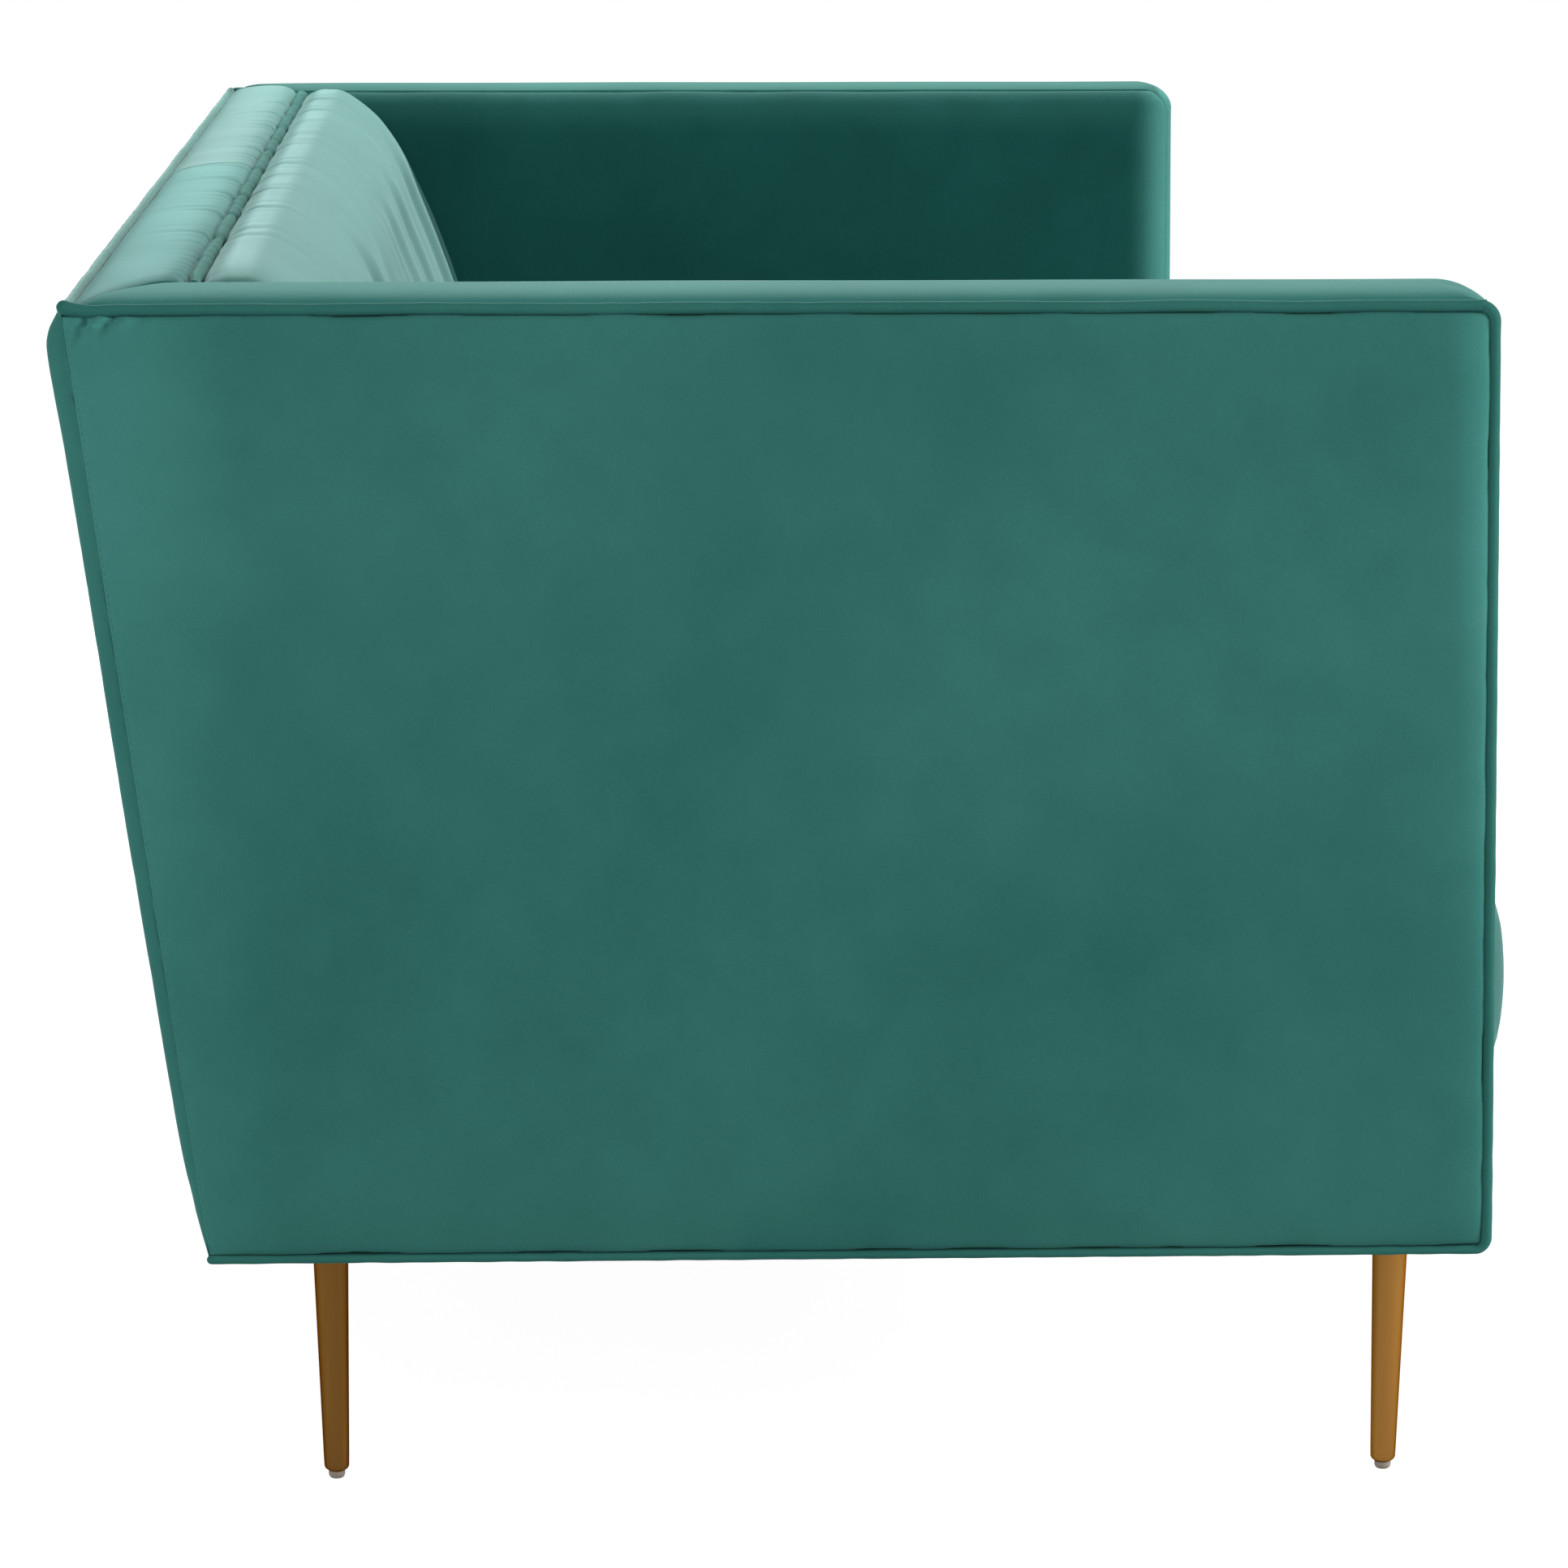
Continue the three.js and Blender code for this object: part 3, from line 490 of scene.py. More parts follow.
# Hard-drawn carbon steel: dark grey with a smooth gleam that the drawing die leaves.
SPRING_WIRE = plain_noise("drawn_spring_wire", "#4f5357", "#7c8186", 1.5, 0.4, metallic=1.0)

# Zinc plating on pressed steel: light grey with faint cloudy spangle.
ZINC = plain_noise("zinc_plated_steel", "#8f9498", "#b6babd", 4, 0.45, metallic=1.0)

# Enamel baked on a steel tube: near black, with one broad soft highlight.
ENAMEL = plain_noise("black_enamel", "#141517", "#26272a", 3, 0.45)

# Injection-moulded polyethylene: grey-brown and waxy, with no sharp reflection.
PLASTIC = plain_noise("moulded_polyethylene", "#7d7369", "#9c9288", 1.2, 0.55)

# Elastic webbing woven of rubber and polyester: black, matt and faintly ribbed across.
WEBBING = plain_noise("woven_elastic_webbing", "#1f1f21", "#3a3a3d", 1.5, 0.95, stretch=(1, 1, 3))

# Felt pressed from grey cotton waste: charcoal, matted and without any gleam. The dark tone is also painted
# shade, so that where the felt shows beside the cushion it reads as shadow.
CHARCOAL_FELT_PAINTED_SHADE = plain_noise("pressed_cotton_felt_painted_shade", "#3d4644", "#59635f", 2.5, 1.0, bump_depth=0.6)

# Spunbonded polypropylene: thin and black, with a flat mottle of bonded fibres.
DUST_CLOTH = plain_noise("spunbonded_polypropylene", "#17181a", "#2a2b2e", 1.2, 0.95)


# Side covers: thinly padded panels, drawn in under the piping on three edges and sewn to the back

PANEL_BACK = HALF_LENGTH - SIDE_PAD
HIGH_CORNER, LOW_CORNER = 9 * MM, 6 * MM
SEAM_TUCK = 1 * MM
SEAM_GAP = 0.05 * MM
OVERHANG = 1 * MM
HUG = WELT_RADIUS + 0.2 * MM
TOUCH_ANGLE = math.radians(20)
COVER_BACKING = 2.9 * MM


def piped_distance(y, z):
    """How far a point of the side lies inside the piping's centre line, which is round at the corners."""
    from_front = y - WELT_FRONT - front_lean(z) + OVERHANG
    from_low, from_high = z - LOW_SEAM + OVERHANG, TOP_SEAM - z
    from_end = np.minimum(from_low, from_high)
    radius = np.where(from_low < from_high, LOW_CORNER, HIGH_CORNER)
    round_corner = (from_front < radius) & (from_end < radius)
    reach = np.hypot(radius - from_front, radius - from_end)
    return np.where(round_corner, radius - reach, np.minimum(from_front, from_end))


def beside_piping(distance, centre, full, roll):
    """A cover's height by its piping: under the cord, then from its side up over the cover's own padding."""
    touch, grip = HUG * math.cos(TOUCH_ANGLE), HUG * math.sin(TOUCH_ANGLE)
    under = centre - np.sqrt(np.clip(HUG ** 2 - distance ** 2, 0, None))
    over = full - (full - centre - grip) * np.exp(-np.clip(distance - touch, 0, None) / roll)
    return np.where(distance < touch, under, over)


def side_height(y, z):
    """Height of the side cover above its backing."""
    distance = piped_distance(y, z) + ripple(y + z, 25, 0.09) * 0.7 * MM
    from_front = y - WELT_FRONT - front_lean(z)
    from_rear = rear_seam(z) - SEAM_GAP - y
    from_low, from_high = z - LOW_SEAM, TOP_SEAM - z
    falls = ((from_front, 6.4, 13), (from_rear, 6.2, 20), (from_low, 6.2, 17), (from_high, 5.2, 15))
    pillow = MM * np.sqrt(sum((drop * np.exp(-away / (width * MM))) ** 2 for away, drop, width in falls))
    piped = beside_piping(distance, WELT_X - PANEL_BACK, SIDE_PAD + 4.6 * MM - pillow, 1 * MM)
    sewn = 0.4 * MM * (1 - roll_in(from_rear, 1.2 * MM)) - 0.5 * MM * bell(from_rear - 1.8 * MM, 1.2 * MM)
    lumps = ripple(y + 0.4 * z, 3, 0.4) * ripple(z - 0.3 * y, 4, 0.35) * 0.3 * MM
    puckers = rear_corner_puckers(from_rear, from_high) + seam_puckers(z, from_rear, 21)
    puckers = puckers + seam_puckers(z, from_front, 22) + 0.6 * seam_puckers(y, from_high, 23)
    puckers = puckers + 0.6 * seam_puckers(y, from_low, 24)
    return np.maximum(piped - sewn + lumps - puckers, COVER_BACKING)


def rear_corner_puckers(from_rear, from_high):
    """Short slanting creases below the knob where the piping ends at the rear corner."""
    depth = 0
    for start, lean, length, deep in ((15, 0.6, 27, 5.5), (30, 0.95, 23, 4), (47, 0.9, 15, 1.8)):
        line = from_rear - (start * MM - lean * (from_high - WELT_RADIUS))
        fade = smoothstep(1 - from_high / (length * MM))
        depth = depth + deep * MM * (bell(line, 2.6 * MM) - 0.5 * bell(line - 5 * MM, 3.6 * MM)) * fade
    return depth


def seam_puckers(place, distance, seed):
    """Small dimples where the seam's stitches draw the cover in."""
    wave = np.clip(ripple(place, seed, 0.03), 0, 1)
    return 0.8 * MM * wave * np.exp(-np.clip(distance, 0, None) / (8 * MM))


def close_ends(reach, fine=1 * MM, near=9 * MM, pitch=4 * MM):
    """Stations from 0 to the reach, close together near both ends."""
    return np.unique(np.concatenate([
        steps(0, near, fine), steps(near, reach - near, pitch), steps(reach - near, reach, fine),
    ]))


def mitre_y(x):
    """Where the arm's top meets the back's, at a distance from the middle of the sofa."""
    inwards = (BOXING_OUTER - x) / (BOXING_OUTER - ARM_INNER)
    return mix(BACK_WELT_Y - WELT_RADIUS, top_panel_box[0].y, inwards) - CLEARANCE


def side_cover(side_name):
    """The outside of an arm: a shallow pillow inside its piping, plainly seamed along the raked rear edge."""
    side = SIDES[side_name]
    low, high = LOW_SEAM + SEAM_TUCK, TOP_SEAM - SEAM_TUCK
    reach = rear_seam(TOP_SEAM) - WELT_FRONT

    def outline(s, t):
        z = mix(low, high, t)
        radius = np.where(z - LOW_SEAM < TOP_SEAM - z, LOW_CORNER, HIGH_CORNER)
        inset = np.clip(radius - np.minimum(z - LOW_SEAM, TOP_SEAM - z), 0, None)
        bend = radius - np.sqrt(np.clip((radius - SEAM_TUCK) ** 2 - inset ** 2, 0, None))
        front = WELT_FRONT + front_lean(z) + bend
        return mix(front, rear_seam(z) - SEAM_GAP, s), z

    def place(s, t, h):
        y, z = outline(s, t)
        return stack(side * (PANEL_BACK + h), y, z)

    def height(s, t):
        return side_height(*outline(s, t))

    across = close_ends(reach) / reach
    along = close_ends(high - low, fine=0.8 * MM) / (high - low)
    made = cover(
        f"side_cover_{side_name}", place, height, across, along, SIDE_VELVET_PAINTED_EDGES, "cover_velvet",
        backing=COVER_BACKING - 0.2 * MM,
    )
    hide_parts(f"arm_outer_panel_{side_name}")


def rear_stitches(side_name):
    """The row of stitches that holds the side cover to the outer back, one short thread for each."""
    side = SIDES[side_name]
    pitch, thread, length, inset = 4.5 * MM, 0.24 * MM, 1.2 * MM, 1.3 * MM
    slope = np.array([0, BACK_RAKE / (TOP_SEAM - LOW_SEAM), 1.0])
    slope /= np.linalg.norm(slope)
    points, faces = [], []
    for z in steps(LOW_SEAM + 8 * MM, TOP_SEAM - 12 * MM, pitch):
        y = rear_seam(z) - SEAM_GAP - inset
        middle = np.array([side * (PANEL_BACK + float(side_height(y, z)) - 0.05 * MM), y, z])
        rings = []
        for share, width in ((-1, 0.4), (-0.6, 1), (0.6, 1), (1, 0.4)):
            hub = middle + slope * length * share
            rings.append([
                hub + thread * width * np.array([math.cos(a) * side, math.sin(a), 0])
                for a in circle(6)
            ])
        more_points, more_faces = loft(rings)
        faces += [[index + len(points) for index in face] for face in more_faces]
        points += more_points.tolist()
    piece(f"rear_stitches_{side_name}", np.array(points), faces, THREAD_PAINTED_GROOVE_SHADE, "piping_velvet")


# Arm boxing: a domed strip up the arm's front, round the top corner and back to the mitre.
# Each dome is given by distances from the outer edge and heights above the backing, in millimetres.

TOP_DOME = spline([
    (0, 4.4), (0.8, 5.6), (2.5, 7), (6, 8.8), (12, 10.4), (22, 11.7), (36, 12.3), (52, 12.4), (66, 12.2),
    (76, 11.8), (84, 11), (89, 10.2), (92, 9.5), (93.3, 8.9), (94, 8),
], 200) * MM
FRONT_DOME = spline([
    (0, 4.2), (1, 5.2), (4, 6.6), (10, 8.2), (22, 10.4), (40, 12.6), (56, 13.5), (70, 13.2), (78, 12.2),
    (84, 10.9), (89, 9.2), (92, 8), (93.3, 7.2), (94, 6.2),
], 200) * MM

DOME_CROWN = 12.4 * MM

# How far the front top corner's round reaches down and back, from the outer edge to the inner one
CORNER_TALL = {"left": (10, 17, 26, 29, 28, 25), "right": (10, 13, 17, 19, 21, 23)}
CORNER_DEEP = {"left": (10, 23, 38, 43, 39, 27), "right": (10, 18, 25, 26, 25, 24)}


def arm_boxing(side_name):
    """Columns of points up the arm's front, round the corner and along its top, side by side over the dome."""
    side = SIDES[side_name]
    reach = TOP_DOME[-1, 0]
    shares = [0, 0.004, 0.01, 0.02, 0.035, *runs((0.055, 0.9, 24), (0.915, 1, 12))]
    columns = []
    for share in shares:
        over = share * reach
        top_height = np.interp(over, TOP_DOME[:, 0], TOP_DOME[:, 1])
        front_height = np.interp(over, FRONT_DOME[:, 0], FRONT_DOME[:, 1])
        crown = top_height / DOME_CROWN
        corner_share = (0, 0.06, 0.3, 0.5, 0.8, 1)
        tall = np.interp(share, corner_share, CORNER_TALL[side_name]) * MM
        deep = np.interp(share, corner_share, CORNER_DEEP[side_name]) * MM
        face, top = FRONT_BACKING - front_height, TOP_BACKING + top_height
        mitre = mitre_y(BOXING_OUTER - over)
        run_z = COVER_BOTTOM + close_ends(top - tall - COVER_BOTTOM, near=6 * MM)[:-1]
        run_z = np.interp(np.linspace(0, 1, 150), np.linspace(0, 1, len(run_z)), run_z)
        hem = (1 - roll_in(run_z - COVER_BOTTOM, 6 * MM)) * front_height * 0.55
        run_y = face + front_lean(run_z) * (1 - share) + hem
        turn = np.radians(np.linspace(0, 90, 26))
        bend_y = face + FRONT_LEAN * (1 - share) + deep * (1 - np.cos(turn))
        bend_z = top - tall * (1 - np.sin(turn))
        back_y = np.linspace(bend_y[-1], mitre, 170)[1:]
        valley = (1 - roll_in(mitre - back_y, 12 * MM)) * top_height * 0.3
        corner = 2.5 * MM * np.exp(-(BACK_WELT_Y - back_y) / (24 * MM)) * (1 - share)
        back_z = top - valley - corner
        y = np.concatenate([run_y, bend_y, back_y])
        z = np.concatenate([run_z, bend_z, back_z])
        wave = ripple(y + z, 31, 0.4) * 0.35 * MM * crown
        y = y + wave * (z < top - tall)
        z = z + wave * (z >= top - tall)
        columns.append(stack(side * (BOXING_OUTER - over), y, z))
    skin = np.stack(columns, axis=1)
    backs = []
    for column, x in ((columns[-1], BOXING_OUTER - reach), (columns[0], PANEL_BACK - CLEARANCE)):
        y = np.maximum(column[:, 1], FRONT_BACKING - 0.2 * MM)
        z = np.minimum(column[:, 2], TOP_BACKING + 0.2 * MM)
        backs.append(stack(side * x, y, z))
    rings = np.concatenate([skin, backs[0][:, None], backs[1][:, None]], axis=1)
    made = piece(f"arm_boxing_cover_{side_name}", *loft(rings), BOXING_VELVET_PAINTED_LIGHT[side_name], "cover_velvet")
    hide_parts(f"arm_boxing_{side_name}")


# Inner arm covers: the cloth wraps round the arm's top and front edges and is sewn to the boxing there

# The radii of the wrap along each axis, and the lines on the inner face at which it starts
WRAP = (26 * MM, 25 * MM, 24 * MM)
WRAP_FRONT = FRONT_BACKING + 17.1 * MM
WRAP_TOP = TOP_BACKING - 14.2 * MM
CREASE_LEVEL = 0.689


def inner_arm_cover(side_name):
    """Level rings of the inner face, which turn over the arm's top edge near their upper end."""
    side = SIDES[side_name]
    low, thick = arm_pad_box[0].z, arm_pad_box[1].x - arm_pad_box[0].x
    round_x, round_y, round_z = WRAP
    level = math.degrees(math.asin((TOP_BACKING - WRAP_TOP) / round_z))
    up = np.radians(np.unique([*np.linspace(0, 73, 16), level - 1, level + 1]))
    about = np.radians(np.linspace(70, 0, 16))
    base = np.concatenate([steps(low, WRAP_TOP, 7 * MM)[:-1], np.full(len(up), WRAP_TOP)])
    up = np.concatenate([np.zeros(len(base) - len(up)), up])
    along = np.concatenate([np.zeros(len(about)), np.linspace(0, 1, 100)[1:]])
    about = np.concatenate([about, np.zeros(99)])
    rings = []
    for height, a in zip(base, up):
        z = height + round_z * math.sin(a)
        rear = arm_pad_box[1].y - BACK_RAKE * (arm_pad_box[1].z - z) / (TOP_SEAM - LOW_SEAM)
        if z >= TOP_BACKING:
            rear = mitre_y(ARM_INNER + round_x * (1 - math.cos(a))) - 0.2 * MM
        y = mix(WRAP_FRONT, rear, along)
        flat = math.cos(a) * np.cos(about)
        tuck = 1.1 * MM * np.clip((np.degrees(about) - 58) / 12, 0, 1) ** 2
        hem = 1.3 * MM * np.clip((math.degrees(a) - 60) / 13, 0, 1) ** 2
        lumps = ripple(y, 41, 0.3) * float(ripple(z, 42, 0.3)) * 0.5 * MM
        hollow = 1.2 * MM * smoothstep((y - WRAP_FRONT) / 0.12) * smoothstep((WRAP_TOP - z) / 0.1)
        crease = 0.9 * MM * bell(z - CREASE_LEVEL - 0.25 * (y - ARM_FRONT), 1.6 * MM)
        crease = crease * bell(np.degrees(about) - 62, 30)
        inward = round_x * (1 - flat) + hollow - lumps * smoothstep((y - WRAP_FRONT) / 0.05) + crease
        y = y - round_y * math.cos(a) * np.sin(about) + tuck * math.cos(a)
        sink = hem + 0.5 * MM * ripple(y, 43, 0.16) * math.sin(a)
        skin = stack(ARM_INNER + inward, y, z - sink)
        below = z < TOP_BACKING
        inner_end = ARM_INNER + inward[-1] + 0.3 * MM
        back = ARM_INNER + thick - 0.1 * MM if below else max(inner_end, skin[-1, 0])
        end = max(skin[0, 0] + 0.2 * MM, inner_end)
        front = max(FRONT_BACKING - 0.2 * MM, y[0] + 0.4 * MM)
        corners = [(back, y[-1], z), (back if below else end, front + 0.2 * MM, z), (end, front, z)]
        ring = np.concatenate([skin, np.array(corners) - (0, 0, 0 if below else hem)])
        rings.append(ring * (side, 1, 1))
    made = piece(f"inner_arm_cover_{side_name}", *loft(rings), SHADED_VELVET, "cover_velvet")
    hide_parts(f"arm_inner_panel_{side_name}")


# Back: top panels, ruched welt, inner back and outer back

# Shares of the inner length, from the left end, at which the ruched welt is drawn in
PINCH_SHARES = (0, 0.163, 0.259, 0.348, 0.415, 0.482, 0.594, 0.652, 0.732, 0.812, 0.891, 1)
PINCHES = [mix(-ARM_INNER, ARM_INNER, share) for share in PINCH_SHARES]


def pinch_creases(x, away, seed, reach):
    """Creases that run from the pinches: a short dimple, one main fold, and finer ones beside it."""
    draw = random.Random(seed)
    depth = np.zeros_like(x)
    for pinch in PINCHES[1:-1]:
        dimple = bell(x - pinch, 4.5 * MM + 0.25 * away) * np.exp(-away / (9 * MM))
        depth = depth + 0.9 * dimple
        folds = [(pinch, draw.uniform(0.35, 0.9), draw.uniform(0.7, 1.5))]
        for _ in range(3):
            aside = draw.uniform(-50, 50) * MM
            folds.append((pinch + aside, draw.uniform(0.12, 0.42), draw.uniform(0.4, 1.5)))
        for start, deep, far in folds:
            drift = draw.uniform(-0.16, 0.1)
            bend = draw.uniform(-0.6, 0.3)
            line = x - (start + drift * away + bend * away ** 2)
            width = (2.3 * MM + 0.2 * away) * draw.uniform(0.7, 1.4)
            fade = np.exp(-away / (reach * far))
            valley = bell(line, width) - 0.5 * bell(line - 2.2 * width, 1.6 * width)
            depth = depth + deep * valley * fade
    return depth


def pinched(x):
    """How near places along the ruched welt are to a pinch: 1 at it, 0 halfway to the next."""
    return np.abs(2 * (np.interp(x, PINCHES, np.arange(len(PINCHES))) % 1) - 1)


def between_pinches(x):
    """How full the cloth stands along the ruched welt: 0 at a pinch, 1 between two."""
    return 1 - pinched(x) ** 5


def gathers(x, away, seed):
    """Short close puckers beside the gathered piping."""
    wave = np.clip(ripple(x, seed, 0.022), 0, 1) * np.clip(0.6 + ripple(x, seed + 1, 0.2), 0, 1)
    return 1.8 * MM * wave * np.exp(-np.clip(away - 4 * MM, 0, None) / (9 * MM))


def back_top_cover(side_name):
    """Half of the back's top: seamed at the middle, mitred at the arm, and drawn in at each pinch."""
    side = SIDES[side_name]
    rear, front = BACK_WELT_Y - WELT_RADIUS - 0.1 * MM, RUCHED_Y + 0.2 * MM
    profile = spline([
        (0, 3.4), (0.02, 5.2), (0.07, 7.4), (0.16, 9.4), (0.3, 11.4), (0.48, 13), (0.64, 13.7), (0.77, 13.5),
        (0.86, 12.1), (0.91, 9.6), (0.94, 6), (0.955, 2.6), (1, 1.9),
    ], 120)

    def place(s, t, h):
        x = mix(CLEARANCE / 2, mix(BOXING_OUTER, ARM_INNER, s), t)
        scallop = (1.9 * between_pinches(side * x) - 1.2 + 0.5 * ripple(x, 57, 0.04)) * MM
        scallop = scallop * smoothstep((s - 0.7) / 0.2)
        return stack(side * x, mix(rear, front, s) - scallop, TOP_BACKING + h)

    def height(s, t):
        end = mix(BOXING_OUTER, ARM_INNER, s)
        x = mix(CLEARANCE / 2, end, t)
        crown = np.interp(s, profile[:, 0], profile[:, 1]) * MM
        away = (1 - s) * (rear - front)
        creases = pinch_creases(side * x, away, 51, 0.02) * 2 * MM
        creases = creases + gathers(side * x, away, 56)
        creases = creases * roll_in(np.clip(away - 3.6 * MM, 0, None), 3 * MM)
        centre = 0.66 + 0.34 * roll_in(x, 3.5 * MM)
        mitre = 0.78 + 0.22 * roll_in(end - x, 32 * MM)
        mitre = mitre - 0.26 * np.exp(-(end - x) / (24 * MM)) * (1 - smoothstep(s / 0.8))
        soft = (ripple(x, 53, 0.14) * 0.5 + ripple(x + 0.6 * away, 54, 0.24) * 0.7) * MM
        return np.maximum((crown - creases + soft * crown / (14 * MM)) * centre * mitre, 0.6 * MM)

    across = runs((0, 0.08, 8), (0.1, 0.84, 22), (0.86, 1, 16))
    along = runs((0, 0.008, 10), (0.01, 0.985, 330), (0.987, 1, 9))
    made = cover(
        f"back_top_cover_{side_name}", place, height, across, along, TOP_VELVET_PAINTED_SHEEN_AND_SHADE[side_name], "seat_velvet",
    )
    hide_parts(f"back_top_panel_{side_name}")


def ruched_welt():
    """Piping gathered by a stitch at each pinch, so that it swells in segments like bamboo."""
    reach = ARM_INNER + 1 * MM
    x = steps(-reach, reach, 1.2 * MM)
    full, knot = 1 - pinched(x) ** 7, pinched(x) ** 24
    width = RUCHED_RADIUS * (0.45 + 0.7 * full + 0.35 * knot) + ripple(x, 61, 0.03) * 0.45 * MM
    y = RUCHED_Y + ripple(x, 63, 0.08) * 0.7 * MM
    line = stack(x, y, RUCHED_Z + (0.9 * full - 0.6) * MM + ripple(x, 62, 0.12) * 0.4 * MM)
    made = piping("ruched_welt", line, width, GATHERED_VELVET_PAINTED_SHADE)
    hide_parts("back_ruched_welt")


# Where the pad's flat rear face ends, low on the back frame and under the ruched welt
INNER_BACK_REAR = 0.299
INNER_BACK_TOP = 0.6962


def inner_back():
    """The crowned pad behind the sitter, with folds that start at the pinches and hang down it."""
    reach = ARM_INNER - CLEARANCE
    groove = RUCHED_Y - RUCHED_RADIUS
    outline = spline([
        (RUCHED_Y - 0.2 * MM, 0.6976), (groove + 0.4 * MM, 0.6979), (groove - 0.3 * MM, 0.7),
        (groove - 4 * MM, 0.7065), (groove - 12 * MM, 0.7108), (groove - 20 * MM, 0.7115),
        (groove - 35 * MM, 0.7095), (0.293, 0.694), (0.279, 0.6785), (0.265, 0.656), (0.252, 0.6235),
        (0.238, 0.589), (0.223, 0.547), (0.211, 0.505), (0.2, 0.46), (0.1925, 0.415), (0.1905, 0.36),
        (0.194, 0.3), (0.203, 0.25), (0.212, 0.2175),
    ], 150)
    run = run_length(outline)
    slope = np.gradient(outline, axis=0)
    slope /= np.linalg.norm(slope, axis=1)[:, None]
    normal = np.stack([slope[:, 1], -slope[:, 0]], axis=1)

    ends = np.array([0, 1, 2.5, 4.5, 7, 10, 14, 19, 25]) * MM
    middle = steps(-reach + 30 * MM, reach - 30 * MM, 4.2 * MM)
    x = np.concatenate([-reach + ends, middle, (reach - ends)[::-1]])
    grid_x, grid_run = np.meshgrid(x, run, indexing="ij")
    creases = pinch_creases(grid_x, grid_run, 71, 0.1) * 2.1 * MM
    creases = creases + gathers(grid_x, grid_run, 76)
    creases = creases * roll_in(np.clip(grid_run - 5 * MM, 0, None), 5 * MM)
    low_folds = smoothstep((grid_run - 0.05) / 0.1) * (1 - smoothstep((grid_run - 0.32) / 0.16))
    folds = hanging_folds(grid_x, grid_run) * low_folds
    waves = ripple(grid_x + 0.2 * grid_run, 73, 0.22) * 1.2 * MM * smoothstep(grid_run / 0.08)
    drawn = (1 - roll_in(reach - np.abs(grid_x), 12 * MM)) * 5 * MM * smoothstep(grid_run / 0.02)
    near_end = np.exp(-(reach - np.abs(grid_x)) / (24 * MM))
    sunk = 8 * MM * near_end * smoothstep(grid_run / 0.025) * (1 - smoothstep((grid_run - 0.06) / 0.12))
    inward = creases + folds + waves + drawn + sunk
    scallop = (2.2 * between_pinches(grid_x) - 1.2 + 0.6 * ripple(grid_x, 77, 0.04)) * MM
    y = outline[:, 0][None] - normal[:, 0][None] * inward + scallop * bell(grid_run - 0.01, 0.012)
    z = outline[:, 1][None] - normal[:, 1][None] * inward
    low_back = stack(x, INNER_BACK_REAR, outline[-1, 1])
    high_back = stack(x, RUCHED_Y - 0.2 * MM, INNER_BACK_TOP)
    rings = np.concatenate([stack(grid_x, y, z), low_back[:, None], high_back[:, None]], axis=1)
    made = piece("inner_back_cover", *loft(rings), SEAT_VELVET_PAINTED_SHEEN_AND_SHADE, "seat_velvet")
    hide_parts("inner_back_pad")


def hanging_folds(x, run):
    """Long soft folds down the front of the inner back, each a little slanted."""
    draw = random.Random(81)
    depth = np.zeros_like(x)
    reach = ARM_INNER - 40 * MM
    place = -reach
    while place < reach:
        width = draw.uniform(20, 38) * MM
        lean = draw.uniform(-0.2, 0.12)
        deep = draw.uniform(1.2, 3.6) * MM
        line = x - (place + lean * (run - 0.2))
        depth = depth + deep * (bell(line, width) - 0.5 * bell(line - 1.8 * width, 1.2 * width))
        place += draw.uniform(90, 190) * MM
    return depth


def outer_back():
    """The back's outside: fullest just under the piping, flattening down to its lower edge."""
    low, high = COVER_BOTTOM, TOP_SEAM - WELT_RADIUS + 1.1 * MM
    reach = PANEL_BACK + 9.3 * MM
    bulge = spline([
        (0, 0.4), (0.008, 0.9), (0.03, 3), (0.07, 5.4), (0.14, 7.6), (0.31, 8.6), (0.48, 9.8), (0.65, 10.4),
        (0.85, 11.6), (0.95, 13), (0.98, 10.5), (1, 4),
    ], 120)

    def place(s, t, h):
        z = mix(low, high, s)
        return stack(mix(-reach, reach, t), rear_seam(z) + SEAM_GAP + h, z)

    def height(s, t):
        x = mix(-reach, reach, t)
        from_end = reach - np.abs(x)
        full = np.interp(s, bulge[:, 0], bulge[:, 1]) * MM
        z = mix(low, high, s)
        lumps = ripple(x, 91, 0.5) * ripple(z, 92, 0.4) * 0.6 * MM
        puckers = seam_puckers(x, (1 - s) * (high - low), 93) + seam_puckers(z, from_end, 94)
        return np.maximum((full + lumps) * roll_in(from_end, 13 * MM) - puckers, 0.05 * MM)

    across = runs((0, 0.03, 8), (0.04, 0.95, 70), (0.957, 1, 10))
    ends = np.array([0, 0.3, 0.8, 1.6, 2.8, 4.5, 6.5, 9, 12, 16]) * MM / (2 * reach)
    along = np.concatenate([ends, np.linspace(0.012, 0.988, 240), (1 - ends)[::-1]])
    made = cover("outer_back_cover", place, height, across, along, COVER_VELVET, "cover_velvet")
    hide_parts("outer_back_panel")


# Piping round the side covers and along the back

# How the cord ends at the rear corner: in a raised knob on the left, drawn flat on the right
KNOB = {"left": 0.8, "right": -0.7}


